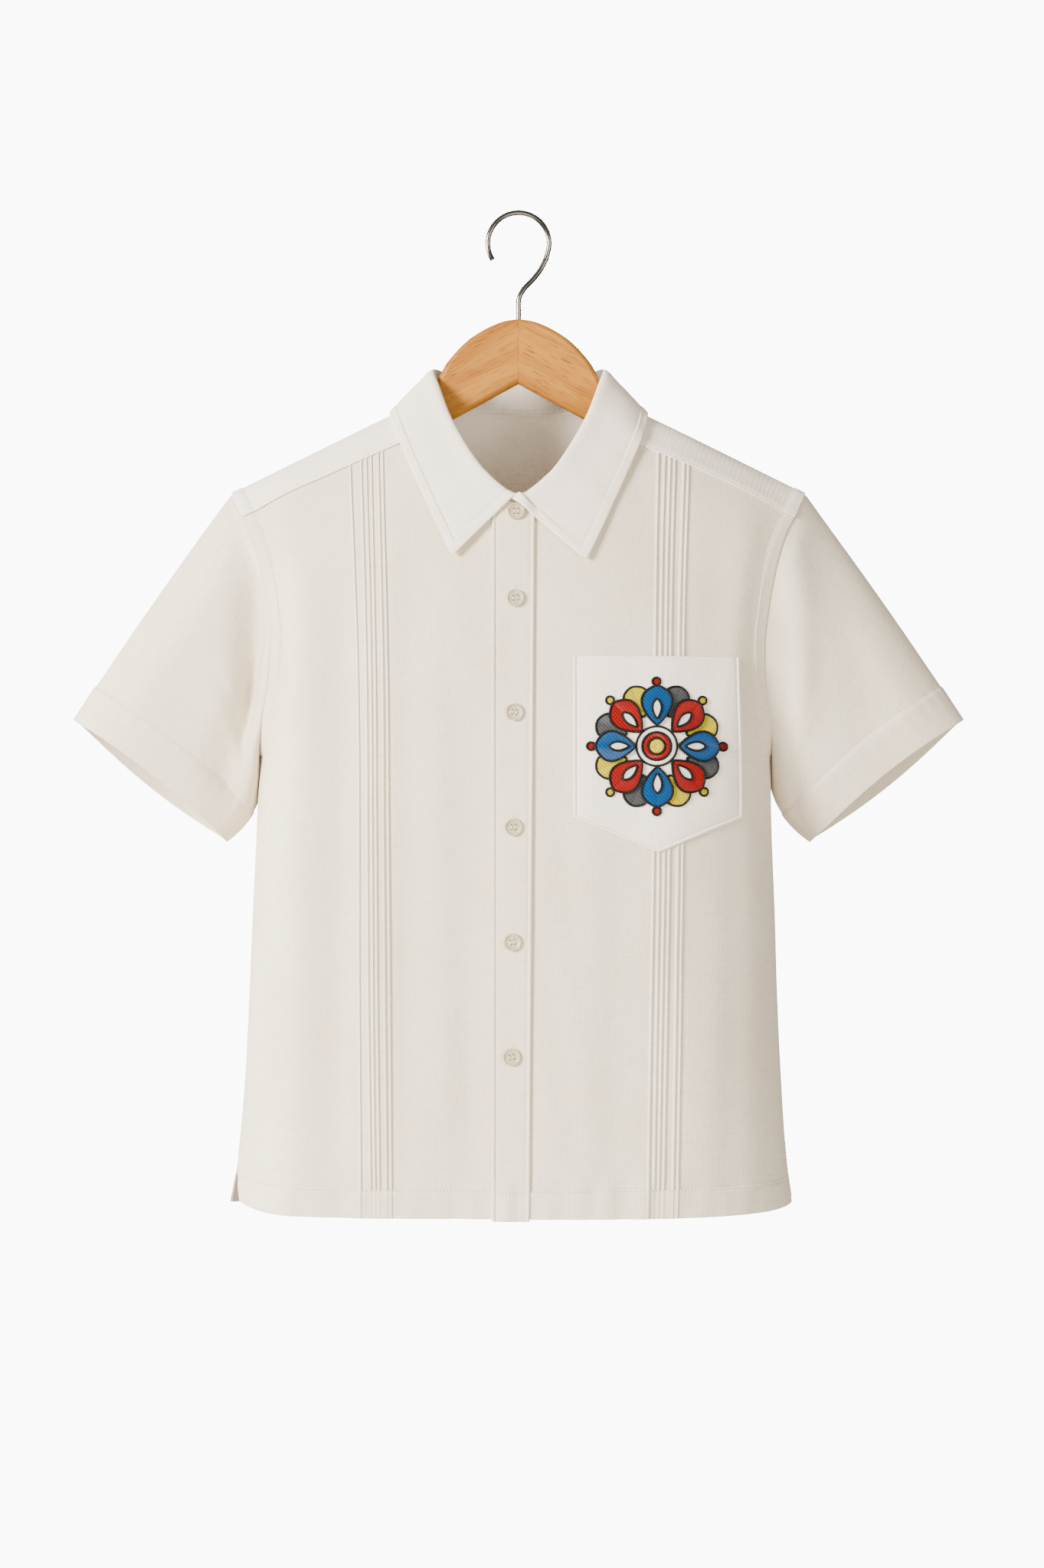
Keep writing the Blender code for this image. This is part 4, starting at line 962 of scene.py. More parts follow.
@dataclass
class Needle:
    """Thread laid as separate strands: one is modelled once, then repeated."""

    pitch: float = 2.7
    length: float = 2.15
    radius: float = 0.23
    blunt: float = 0.7

    def __post_init__(self) -> None:
        """Model one strand, along X with its top to +Z, of half length 1 and radius 1."""
        deselect_all()
        bpy.ops.mesh.primitive_uv_sphere_add(segments=6, ring_count=6, radius=1.0)
        made = bpy.context.object
        points = np.array([v.co for v in made.data.vertices], float)[:, [2, 0, 1]]
        points[:, 0] = np.sign(points[:, 0]) * np.abs(points[:, 0]) ** self.blunt
        self.shape = points
        faces = [list(p.vertices) for p in made.data.polygons]
        self.faces = np.array([f if len(f) == 4 else f + f[-1:] for f in faces])
        bpy.data.objects.remove(made, do_unlink=True)

    def lay(
        self,
        name: str,
        starts: Array,
        ends: Array,
        outs: Array,
        material: bpy.types.Material,
        thick: Any = 1.0,
    ) -> bpy.types.Object:
        """Lay one strand between each pair of points.

        Args:
            name: name of the piece.
            starts: where the strands begin.
            ends: where they end.
            outs: the cloth's normal at each.
            material: the thread's material.
            thick: thickness of each strand, as a part of the needle's own.

        Returns:
            The strands as one object.
        """
        way = unit(ends - starts)
        half = np.linalg.norm(ends - starts, axis=1, keepdims=True)[:, None] / 2
        side = unit(np.cross(outs, way))
        out = np.cross(way, side)
        shape = self.shape[None]
        points = ((starts + ends) / 2)[:, None] + way[:, None] * shape[..., :1] * half
        radius = np.broadcast_to(thick, len(starts))[:, None, None] * self.radius
        points = points + side[:, None] * shape[..., 1:2] * radius
        points = points + out[:, None] * shape[..., 2:] * radius
        numbers = (np.arange(len(points)) * len(self.shape))[:, None, None] + self.faces[None]
        rows = [f[:3] if f[2] == f[3] else f for f in numbers.reshape(-1, 4).tolist()]
        mesh = bpy.data.meshes.new(name)
        mesh.from_pydata((points.reshape(-1, 3) * MM).tolist(), [], rows)
        mesh.shade_smooth()
        return settle(linked(name, mesh), material)

    def steps(self, seam: Seam) -> tuple[Array, Array, Array]:
        """Starts, ends and normals of the stitches along a seam."""
        run = lengths(seam.line)
        count = max(int(run[-1] / self.pitch), 1)
        at = (np.arange(count) + 0.5) * run[-1] / count
        out = np.stack([np.interp(at, run, seam.out[:, k]) for k in range(3)], axis=1)
        return (
            along(seam.line, np.maximum(at - self.length / 2, 0.0)),
            along(seam.line, np.minimum(at + self.length / 2, run[-1])),
            unit(out),
        )

    def sew(
        self, name: str, seams: Sequence[Seam], material: bpy.types.Material
    ) -> bpy.types.Object:
        """Sew seams as one piece of stitches."""
        parts = [self.steps(seam) for seam in seams]
        starts, ends, outs = (np.concatenate([p[k] for p in parts]) for k in range(3))
        thick = np.repeat([seam.thick for seam in seams], [len(part[0]) for part in parts])
        return self.lay(name, starts, ends, outs, material, thick)


# ------------------------------------------------------------------ neckline and tops
@dataclass
class Neck:
    """Neckline of the body, and the collar's curves over it, for half of the shirt."""

    corner_x: float = 64.3
    seam_x: float = 95.1
    seam_z: float = -188.9
    seam_slope: float = 0.461
    dip: float = 0.6
    dip_x: float = 14.0
    steps: int = 8
    neck: tuple[tuple[float, float], ...] = (
        (0.2, -240.6), (5.0, -239.2), (24.0, -228.5), (41.0, -212.5), (59.0, -186.0),
        (68.5, -163.5), (72.5, 0.0), (65.0, -153.0), (49.0, -155.5), (26.0, -156.8),
        (0.0, -157.2),
    )
    sides: tuple[int, ...] = (-1, -1, -1, -1, -1, -1, -1, 1, 1, 1, 1)

    def __post_init__(self) -> None:
        """Work out the line of the neck seam."""
        self.line = self.on_body()
        front = self.line[self.line[:, 1] < -1e-6]
        rising = np.argsort(front[:, 0])
        self.front_x, self.front_z = front[rising, 0], front[rising, 2]

    def on_body(self) -> Array:
        """Fine curve of the neck seam over the body; a z of 0 stands for the ridge."""
        stations = [
            BODY.surface(x, z, side) if z else np.array((x, 0.0, BODY.ridge(x)))
            for (x, z), side in zip(self.neck, self.sides)
        ]
        return BODY.lifted(refine(np.array(stations), self.steps), 0.0)

    def front_top(self, x: Any) -> Any:
        """Height of the front's top edge: the neckline, then the yoke seam."""
        across = np.abs(x)
        seam = self.seam_z - self.seam_slope * (across - self.seam_x) - BODY.half_gap
        line = np.interp(across, self.front_x, self.front_z)
        line = line - self.dip * np.maximum(1 - across / self.dip_x, 0.0)
        return np.where(across > self.corner_x, seam, np.minimum(line, seam))


NECK = Neck()


def front_end() -> float:
    """Height at which the fronts' top edge meets the armhole."""
    z = -247.0
    for _ in range(20):
        z = float(NECK.front_top(float(ARMHOLE_TABLE.read("front", z))))
    return z


FRONT_END = front_end()
CLOSURE_HEM, CLOSURE_TOP = 8.4, 12.6


def front_heights(levels: Array, x: Any) -> Array:
    """Heights of a front's rows at x: level at the hem, in line with the top edge above."""
    part = (levels - BODY.hem_z) / (FRONT_END - BODY.hem_z)
    return levels + (NECK.front_top(x) - FRONT_END) * part**3


def body_levels(top: float) -> Array:
    """Heights of a panel's rows, close together at the hem, its stitches and the armpit."""
    levels = [BODY.hem_z + k for k in (0, 0.5, 1.4, 4, 9, 14, 18)]
    levels += [BODY.hem_top + k for k in (-2.4, -1.5, -0.9, -0.4, 0, 0.5, 1.2, 3)]
    levels += list(np.arange(BODY.hem_top + 8, BODY.armpit_z - 9, 6.2))
    levels += [BODY.armpit_z + k for k in (-5, -2, 0, 0.3, 1, 2, 3.4, 5.2, 7.6, 10.5, 14, 18)]
    levels += list(np.arange(BODY.armpit_z + 23, top - 9, 5.4))
    return np.array(levels + [top + k for k in (-5, -2.4, -1.2, -0.5, 0)])


def closure_x(z: Any) -> Any:
    """X of the placket's stitched right edge at heights; it leans a little."""
    t = (z - BODY.hem_z) / (float(NECK.front_top(0)) - BODY.hem_z)
    return blend(CLOSURE_HEM, CLOSURE_TOP, t)


def felled_relief(gap: Any, z: Any) -> Any:
    """Height of the felled armhole seam at a distance from the armhole."""
    shape = 0.75 * ease((BODY.felled + 0.7 - gap) / 0.8) - 0.6 * bump(gap - BODY.felled + 0.5, 0.9)
    return shape * ease((z - BODY.armpit_z + 4) / 14)


def hem_relief(x: Any, z: Any) -> Any:
    """Height of the turned hem at a place, with the groove of its stitches and its puckers."""
    up = z - BODY.hem_z - BODY.hem_band
    pucker = np.sin(x / 4.3 + 1.5 * np.sin(x / 19.0)) * (0.6 + 0.4 * np.sin(x / 31.0 + 1.0))
    band = 0.8 * ease((0.6 - up) / 0.9) - 0.9 * bump(up + 0.5, 1.0)
    return band + 0.65 * pucker * ease(-up / 3.0)


# ------------------------------------------------------------------ body panels
# Distance of each tuck from the middle plane at the yoke, at the middle and at the hem.
TUCK_TABLE = {
    Hand.RIGHT: (
        (107.9, 100.9, 98.3), (111.3, 104.4, 101.9), (116.8, 110.1, 107.5),
        (120.7, 113.4, 110.9), (124.7, 117.0, 114.3), (133.2, 123.8, 122.0),
    ),
    Hand.LEFT: (
        (111.4, 105.2, 100.3), (116.3, 109.2, 104.5), (120.5, 113.3, 108.1),
        (124.2, 117.0, 111.9), (131.2, 123.4, 119.0), (134.8, 126.9, 122.6),
    ),
}
# Offset towards +X and height, across one pintuck that is pressed to the wearer's right.
TUCK_SHAPE = (
    (-1.95, 0.0), (-1.6, -0.05), (-1.2, 0.42), (-0.7, 0.92), (-0.2, 1.26), (0.22, 1.2),
    (0.38, 0.6), (0.46, -0.2), (0.98, 0.0),
)
HANGER_PIECES = ("hanger_arm_left", "hanger_arm_right")
# Distances of the columns beside an armhole or a side seam, and those that carry stitches.
ARM_CROWD = (0, 0.5, 1.0, 1.6, 2.2, 2.8, 4.5, 7.5, 8.6, 9.0, 9.3, 9.7, 10.2, 10.8, 12.5)
FELLED_STITCH = ARM_CROWD.index(9.3)
VENT_STITCH = ARM_CROWD.index(8.6)
# How far stitches stand off the cloth; on the hems of the front their thread is thicker too.
FELLED_LIFT = 0.12
EDGE_LIFT = 0.1
HEM_STITCH = (0.35, 2.4)
PANEL_WALL = 0.6
PANEL_HEM_WALL = 0.5


def stitched_row(levels: Array) -> int:
    """Number of the row that the hem's stitches run along."""
    return int(np.argmin(np.abs(levels - BODY.hem_top + 0.45)))


def panel_cloth(
    name: str, base: Array, out: Array, relief: Array, z: Array, finishes: Finishes
) -> tuple[bpy.types.Object, Array]:
    """Make the cloth of a front or of the back.

    Args:
        name: its node.
        base: its points on the body.
        out: the normals there.
        relief: height of its outer side over those points.
        z: its heights, which say where the hem is.
        finishes: the shirt's materials.

    Returns:
        The panel and the points of its outer side.
    """
    outer = base + out * relief[..., None]
    wall = np.where(z < BODY.hem_top, PANEL_HEM_WALL, PANEL_WALL)
    return Cloth(name, outer, base - out * wall[..., None]).make(finishes.linen), outer


@dataclass
class Front:
    """Front panel with six pintucks, from the closure to the side seam and the armhole."""

    hand: Hand
    # How far the vent's corner is set back from the side and up, and over what reach.
    vent: dict[Hand, tuple[float, float]] = field(
        default_factory=lambda: {Hand.RIGHT: (9.0, 5.0), Hand.LEFT: (0.9, 1.0)}
    )
    vent_reach: float = 50.0
    vent_rise: float = 70.0
    middle_z: float = -470.0
    lap: float = 4.0
    inner_columns: int = 20
    outer_columns: int = 22
    # Part of its height that a tuck keeps in the hem: the first and last, and the others.
    pressed: tuple[float, float] = (0.45, 0.15)
    cut: Cut = Cut(262, 645, 0.86)

    def tuck_x(self, row: tuple[float, float, float], z: Array) -> Array:
        """Distance of a tuck from the middle plane at heights."""
        yoke, middle, hem = row
        top = float(NECK.front_top(yoke))
        rise = (z - self.middle_z) / (top - self.middle_z)
        fall = (z - BODY.hem_z) / (self.middle_z - BODY.hem_z)
        high = blend(middle, yoke, np.maximum(rise, 0) ** 2)
        return np.where(z > self.middle_z, high, blend(hem, middle, fall))

    def settle_column(self, law: Any, levels: Array) -> tuple[Array, Array]:
        """Places of a column whose x depends on its height."""
        x = law(levels)
        for _ in range(5):
            x = law(front_heights(levels, x))
        return x, front_heights(levels, x)

    def tuck_height(self, number: int, rise: float, z: Array) -> Array:
        """Height of a tuck: full above the hem, and pressed flat in it."""
        rest = self.pressed[0 < number < len(TUCK_TABLE[self.hand]) - 1]
        return rise * blend(rest, 1.0, ease((z - BODY.hem_top + 1.0) / 2.0))

    def places(self, levels: Array) -> tuple[Array, Array, Array]:
        """X, z and relief of every point, in columns from the middle out."""
        sign = self.hand.value
        tucks = TUCK_TABLE[self.hand]
        shape = TUCK_SHAPE if sign > 0 else TUCK_SHAPE[::-1]
        columns = []
        for part in np.linspace(0, 1, self.inner_columns + 1)[:-1]:

            def law(z: Array, p: float = part) -> Array:
                start = sign * self.tuck_x(tucks[0], z) + shape[0][0]
                return blend(closure_x(z) - self.lap, start, p)

            columns.append((*self.settle_column(law, levels), 0 * levels))
        for number, row in enumerate(tucks):
            for offset, rise in shape:
                x, z = self.settle_column(
                    lambda h, r=row, o=offset: sign * self.tuck_x(r, h) + o, levels
                )
                columns.append((x, z, self.tuck_height(number, rise, z)))
        x, z = self.outer_places(levels, columns[-1][0])
        gap = np.abs(BODY.shift(z) + sign * BODY.edge(z, -1) - x)
        columns += zip(x.T, z.T, felled_relief(gap, z).T)
        return tuple(np.stack([c[k] for c in columns], axis=1) for k in range(3))

    def outer_places(self, levels: Array, start_x: Array) -> tuple[Array, Array]:
        """X and z beyond the last tuck, laid by distance to follow the armhole."""
        sign = self.hand.value
        rows_x, rows_z = [], []
        for level, x0 in zip(levels, start_x):
            start_z = float(front_heights(np.array([level]), x0)[0])

            def curve(part: Array) -> tuple[Array, Array]:
                z = np.full(part.shape, level)
                x = np.full(part.shape, x0)
                for _ in range(6):
                    low = BODY.angle(abs(x0 - BODY.shift(start_z)), start_z)
                    angle = blend(low, BODY.angle(BODY.edge(z, -1), z), part)
                    x = BODY.across(sign * angle, z)
                    z = front_heights(np.full(part.shape, level), x)
                return x, z

            fine = np.linspace(0, 1, 90)
            x, z = curve(fine)
            run = lengths(BODY.surface(x, z, -1))
            at = places(run[-1], (0.0,), ARM_CROWD, self.outer_columns)[1:]
            x, z = curve(np.interp(at, run, fine))
            rows_x.append(x)
            rows_z.append(z)
        return np.array(rows_x), np.array(rows_z)

    def build(self, finishes: Finishes, needle: Needle) -> bpy.types.Object:
        """Make the panel with its stitches.

        Args:
            finishes: the shirt's materials.
            needle: the lockstitch.

        Returns:
            The panel.
        """
        levels = body_levels(FRONT_END)
        x, z, relief = self.places(levels)
        sign = self.hand.value
        back, rise = self.vent[self.hand]
        down = np.clip((BODY.vent_top - z) / (BODY.vent_top - BODY.hem_z), 0.0, 1.0)
        near = np.maximum(1 - np.abs(x - x[:, -1:]) / self.vent_reach, 0.0) ** 2
        x = x - sign * back * down**2 * near
        z = z + rise * near * np.clip(1 - (z - BODY.hem_z) / self.vent_rise, 0.0, 1.0)
        base, out = BODY.skin(x, z, -1)
        seamed = (z[:, -1] <= BODY.armpit_z) & (z[:, -1] > BODY.vent_top)
        base[seamed, -1, 1] = -BODY.half_gap
        name = f"front_{self.hand.label}"
        piece, self.outer = panel_cloth(name, base, out, relief + hem_relief(x, z), z, finishes)
        self.out, self.z = out, z
        stitches = needle.sew(f"{name}_stitches", self.seams(), finishes.thread)
        self.cut.declare(piece, "hung", HANGER_PIECES, (stitches,))
        return piece

    def seams(self) -> list[Seam]:
        """Stitches of the armhole, the hem, the tucks and the vent."""
        hem = stitched_row(self.z[:, 0])
        rim = self.outer.shape[1] - 1
        felled = rim - FELLED_STITCH
        above = self.z[:, felled] > BODY.armpit_z + 6
        vent = rim - VENT_STITCH
        low = self.z[:, vent] < BODY.vent_top
        over = 2 if self.hand is Hand.RIGHT else 0
        made = [
            Seam.over(self.outer, self.out, (above, felled), FELLED_LIFT),
            Seam.over(self.outer, self.out, np.s_[hem, over:], *HEM_STITCH),
            Seam.over(self.outer, self.out, (low, vent), EDGE_LIFT),
        ]
        up = self.z[:, 0] > BODY.hem_top
        width = len(TUCK_SHAPE)
        foot = 3 if self.hand is Hand.LEFT else width - 4
        for number in range(len(TUCK_TABLE[self.hand])):
            column = self.inner_columns + number * width + foot
            made.append(Seam.over(self.outer, self.out, (up, column), 0.0))
        return made


@dataclass
class Back:
    """Back panel from side to side and up to the yoke, wider than the fronts at the vents."""

    # How much wider each side gets at its vent, and how the widening grows downward.
    flares: dict[Hand, float] = field(
        default_factory=lambda: {Hand.RIGHT: 2.4, Hand.LEFT: 0.4}
    )
    flare_power: float = 1.4
    columns: int = 74
    # Where the hem dips beside each vent: from the edge, how deep and how wide.
    dips: dict[Hand, tuple[float, float, float]] = field(
        default_factory=lambda: {Hand.RIGHT: (30.0, 4.5, 24.0), Hand.LEFT: (0.0, -4.0, 20.0)}
    )
    cut: Cut = Cut(520, 600, 0.93)

    def row(self, level: float) -> tuple[Array, Array, Array]:
        """Points, normals and distances from the nearer edge along a level."""
        edge = float(BODY.angle(BODY.edge(level, 1), level))
        fine = np.linspace(1, -1, 240) * edge
        run = lengths(BODY.surface(BODY.across(fine, level), level, 1))
        at = places(run[-1], ARM_CROWD, ARM_CROWD, self.columns)
        angle = np.interp(at, run, fine)
        point, out = BODY.skin(BODY.across(angle, level), level, 1)
        down = max(BODY.vent_top - level, 0.0) / (BODY.vent_top - BODY.hem_z)
        flare = np.where(angle > 0, self.flares[Hand.LEFT], self.flares[Hand.RIGHT])
        wider = flare * down**self.flare_power
        point[:, 0] += np.sign(angle) * wider * np.abs(np.sin(angle)) ** 3
        gap = np.minimum(at, run[-1] - at)
        for hand, (from_edge, deep, wide) in self.dips.items():
            dipped = deep * bump(gap - from_edge, wide) * down
            point[:, 2] -= np.where(angle * hand.value > 0, dipped, 0.0)
        if level <= BODY.armpit_z:
            point[[0, -1], 1] = BODY.half_gap + 0.5 * wider[[0, -1]]
        return point, out, gap

    def build(self, finishes: Finishes, needle: Needle) -> bpy.types.Object:
        """Make the panel with its stitches."""
        levels = body_levels(BODY.back_yoke_z - BODY.half_gap)
        base, out, gap = (np.array(k) for k in zip(*(self.row(level) for level in levels)))
        z = base[..., 2]
        relief = felled_relief(gap, z) + hem_relief(base[..., 0], z)
        piece, outer = panel_cloth("back", base, out, relief, z, finishes)
        seams = [Seam.over(outer, out, stitched_row(levels), 0.25, 1.7)]
        felled = (levels > BODY.armpit_z + 6, FELLED_STITCH, FELLED_LIFT)
        vent = (levels < BODY.vent_top, VENT_STITCH, EDGE_LIFT)
        for rows, column, lift in (felled, vent):
            for near in (column, -1 - column):
                seams.append(Seam.over(outer, out, (rows, near), lift))
        stitches = needle.sew("back_stitches", seams, finishes.thread)
        self.cut.declare(piece, "hung", HANGER_PIECES, (stitches,))
        return piece


@dataclass
class Yoke:
    """Yoke over both shoulders, lapped over the fronts and the back at its seams."""

    wall: float = 0.9
    lap: float = 1.4
    lift: float = 1.5
    lap_run: float = 16.0
    stitch: float = 2.4
    front_turns: tuple[float, ...] = (1.0, 0.62, 0.3, 0.1, 0.0)
    back_turns: tuple[float, ...] = (0.05, 0.18, 0.5, 1.0)
    neck_front: tuple[float, ...] = (0.0, 0.38, 0.7, 0.9, 1.0)
    neck_back: tuple[float, ...] = (0.05, 0.14, 0.25, 0.38)
    back_steps: int = 7
    across: int = 61
    between: int = 22
    # How far from the middle the seams' stitches run.
    seam_x: float = 216.0
    first_steps: tuple[float, ...] = (
        0, 0.012, 0.025, 0.04, 0.055, 0.07, 0.09, 0.12, 0.17, 0.25, 0.35, 0.5, 0.65, 0.8,
    )
    cut: Cut = Cut(470, 215, 0.70)

    def __post_init__(self) -> None:
        """Work out where the seams end at the armholes."""
        self.front_rise = 2 * BODY.half_gap - self.lap
        self.back_z = BODY.back_yoke_z + BODY.half_gap - self.lap
        self.corner = len(self.front_turns) + len(self.back_turns) - 1
        self.front_turn = self.end_turn(FRONT_END + self.front_rise, -1)
        self.back_turn = self.end_turn(self.back_z, 1)

    def rim_x(self, turn: Any) -> Array:
        """Distance of the armhole from the middle at angles from the ridge."""
        turn = np.asarray(turn, float)
        x = np.full(turn.shape, 225.0)
        for _ in range(40):
            z = BODY.shoulder(x, turn)[..., 2]
            front, back = ARMHOLE_TABLE.read("front", z), ARMHOLE_TABLE.read("back", z)
            x = np.where(turn < 0, front, back)
        return x

    def end_turn(self, height: float, side: int) -> float:
        """Angle at which the armhole has a height."""
        turn = 0.3 * side
        for _ in range(40):
            turn = float(BODY.turn(float(self.rim_x(turn)), height, side))
        return turn

    def half(self) -> tuple[Array, Array]:
        """Steps and (x, turn) grid over half of the yoke, from neck to rim in each row."""
        turns = [self.front_turn * p for p in self.front_turns]
        turns += [self.back_turn * p for p in self.back_turns]
        last = self.corner + self.back_steps
        steps = np.concatenate((self.first_steps, np.arange(1, last + 0.01, 0.125)))
        rim_turn = np.interp(steps, np.arange(self.corner + 1), turns)
        rim_x = self.rim_x(rim_turn)
        beyond = steps > self.corner
        corner_x = float(self.rim_x(self.back_turn))
        rim_x[beyond] = blend(corner_x, 0.0, (steps[beyond] - self.corner) / self.back_steps)
        rim_turn[beyond] = BODY.turn(rim_x[beyond], self.back_z, 1)
        corner_z = float(NECK.front_top(NECK.corner_x + 0.01)) + self.front_rise
        line = NECK.line[(NECK.line[:, 1] > 0) | (NECK.line[:, 2] > corner_z)]
        edge = np.stack((line[:, 0], BODY.turn_of(line)), axis=1)
        first = (NECK.corner_x, float(BODY.turn(NECK.corner_x, corner_z, -1)))
        edge = np.concatenate(([first], edge))
        ridge = int(np.argmin(np.abs(edge[:, 1])))
        rest = np.linspace(self.neck_back[-1], 1.0, self.back_steps + 1)[1:]
        ahead = np.array(self.neck_front) * ridge
        behind = ridge + np.concatenate((self.neck_back, rest)) * (len(edge) - 1 - ridge)
        marks = np.concatenate((ahead, behind))
        at = np.interp(steps, np.arange(len(marks)), marks)
        neck = np.stack([np.interp(at, np.arange(len(edge)), edge[:, k]) for k in (0, 1)], axis=1)
        rim = np.stack((rim_x, rim_turn), axis=1)
        part = np.linspace(0, 1, self.across)[None, :, None]
        grid = blend(neck[:, None], rim[:, None], part)
        front = NECK.front_top(grid[0, :, 0] + 0.01) + self.front_rise
        drift = BODY.turn(grid[0, :, 0], front, -1) - grid[0, :, 1]
        grid[:, :, 1] += drift[None] * np.maximum(1 - steps[:, None] / 1.5, 0.0)
        return steps, grid

    def height(self, points: Array) -> Array:
        """Height of the yoke's outer side over the body at points of the body."""
        x, y, z = np.moveaxis(points, -1, 0)
        fold = np.where(y < 0, BODY.fold(x, z, -1), BODY.fold(x, z, 1)) * ease(np.abs(y) / 20)
        seam = nearest(points, self.seam_lines)
        arm = nearest(points, self.arm_lines)
        lap = self.lift * (1 - ease(seam / self.lap_run)) - 0.45 * bump(seam - self.stitch, 0.75)
        return fold + lap + felled_relief(arm, z)

    def seam_at(self, x: Array, z: Array, side: int) -> Seam:
        """Seam through places on the yoke."""
        base = BODY.surface(x, z, side)
        out = BODY.normal(base)
        return Seam(base + out * (self.height(base) + FELLED_LIFT)[:, None], out)

    def build(self, finishes: Finishes, needle: Needle) -> bpy.types.Object:
        """Make the yoke with its stitches."""
        steps, half = self.half()
        left = BODY.shoulder(half[..., 0], half[..., 1])
        right = left * np.array((-1.0, 1.0, 1.0))
        arm = steps <= self.corner + 0.01
        back = np.concatenate((right[~arm, -1], left[~arm, -1][::-1]))
        self.seam_lines = (left[0], right[0], back)
        self.arm_lines = (left[arm, -1], right[arm, -1])
        grid = np.concatenate((right, left[-2::-1]))
        grid = resample(grid, 1, (0.0, 2.0), ARM_CROWD, self.between)
        out = BODY.normal(grid)
        outer = grid + out * self.height(grid)[..., None]
        piece = Cloth("yoke", outer, outer - out * self.wall).make(finishes.doubled)
        felled = outer.shape[1] - 1 - FELLED_STITCH
        seams = []
        inside = np.flatnonzero((steps > 0.1) & (steps < self.corner - 0.5))
        for rows in (inside, len(outer) - 1 - inside):
            seams.append(Seam.over(outer, out, (rows, felled), FELLED_LIFT))
        x = np.linspace(NECK.corner_x + 2, self.seam_x, 90)
        for hand in Hand:
            z = NECK.front_top(x) + self.front_rise + self.stitch * 1.1
            seams.append(self.seam_at(x * hand.value, z, -1))
        x = np.linspace(-self.seam_x, self.seam_x, 240)
        seams.append(self.seam_at(x, np.full(x.shape, self.back_z + self.stitch), 1))
        stitches = needle.sew("yoke_stitches", seams, finishes.thread)
        self.cut.declare(piece, "hung", HANGER_PIECES, (stitches,))
        return piece


# ------------------------------------------------------------------ placket and pocket
@dataclass
class Placket:
    """Placket band: lapped over the right front, sewn along the left front, five buttonholes."""

    left: float = -20.3
    # How far the foot hangs below the hem, and the part of that which each row goes down.
    drop: float = 1.6
    drops: tuple[float, ...] = (1.0, 0.9, 0.7, 0.4)
    hem_stitch: float = 20.0
    between: int = 10
    top_gap: float = 1.0
    under: float = 0.45
    lift: float = 1.65
    welt: float = 2.4
    stitch: float = 2.9
    # How far above its button each hole has its middle.
    hole_rise: float = 1.5
    cut: Cut = Cut(45, 578, 0.92)
    edge: tuple[float, ...] = (0, 0.3, 0.7, 1.3, 1.9, 2.4, 2.9, 3.4, 4.2, 6.0)

    def height(self, gap_left: Array, gap_right: Array) -> Array:
        """Height of the band over the body, at distances from its two edges."""
        ridge = 0.6 * ease((self.welt - gap_left) / 0.7)
        welt = 0.75 * ease((self.welt - gap_right) / 0.6)
        groove = 0.5 * (bump(gap_left - self.stitch, 0.6) + bump(gap_right - self.stitch, 0.6))
        soft = 0.25 * ease(1 - gap_left / 0.5) + 0.25 * ease(1 - gap_right / 0.5)
        return self.lift + ridge + welt - groove - soft

    def level(self, level: Array, x: Array) -> Array:
        """Heights of a row at x."""
        part = (level - BODY.hem_z) / (FRONT_END - BODY.hem_z)
        return level + (NECK.front_top(x) - self.top_gap - FRONT_END) * part**3

    def build(self, finishes: Finishes, needle: Needle) -> bpy.types.Object:
        """Make the band with its stitches and buttonholes."""
        levels = body_levels(FRONT_END)
        x = np.zeros((len(levels), 2 * len(self.edge) + self.between))
        z = np.repeat(levels[:, None], x.shape[1], axis=1)
        for _ in range(5):
            for i in range(len(levels)):
                total = float(closure_x(z[i, -1])) - self.left
                x[i] = self.left + places(total, self.edge, self.edge, self.between)
            z = self.level(levels[:, None], x)
        height = self.height(x - self.left, closure_x(z) - x)
        height = height - 0.45 * bump(levels[:, None] - BODY.hem_z - self.hem_stitch, 0.9)
        z[: len(self.drops)] -= self.drop * np.array(self.drops)[:, None]
        outer, out = BODY.skin(x, z, -1, height)
        inner, _ = BODY.skin(x, z, -1, np.full(x.shape, self.under))
        piece = Cloth("placket", outer, inner).make(finishes.linen)
        foot = self.edge.index(self.stitch)
        seams = []
        for column in (foot, x.shape[1] - 1 - foot):
            seams.append(Seam.over(outer, out, np.s_[1:-3, column], EDGE_LIFT))
        hem = int(np.argmin(np.abs(levels - BODY.hem_z - self.hem_stitch)))
        seams.append(Seam.over(outer, out, np.s_[hem, foot:-foot], *HEM_STITCH))
        stitches = needle.sew("placket_stitches", seams, finishes.thread)
        holes = self.buttonholes(finishes)
        self.cut.declare(piece, "hung", ("yoke_cloth",), (stitches, holes))
        return piece

    def buttonholes(self, finishes: Finishes) -> bpy.types.Object:
        """Worked buttonholes, upright, with a bar at each end."""
        satin = Needle(pitch=1.0, length=1.0, radius=0.24, blunt=0.5)
        starts, ends = [], []
        for number in range(1, BUTTONS.count):
            x, z = BUTTONS.place(number)
            z += self.hole_rise
            for up in np.arange(-BUTTONS.hole / 2, BUTTONS.hole / 2, 0.5):
                for side in (-1, 1):
                    starts.append((x + side * 0.2, z + up))
                    ends.append((x + side * 1.5, z + up))
            for end in (-1, 1):
                low = z + end * BUTTONS.hole / 2
                for across in np.arange(-1.4, 1.5, 0.45):
                    starts.append((x + across, low - 0.8))
                    ends.append((x + across, low + 0.8))
        (start, out), (end, _) = (
            BODY.skin(*np.array(rows).T, -1, np.full(len(rows), self.lift + 0.08))
            for rows in (starts, ends)
        )
        return satin.lay("buttonholes", start, end, out, finishes.thread)


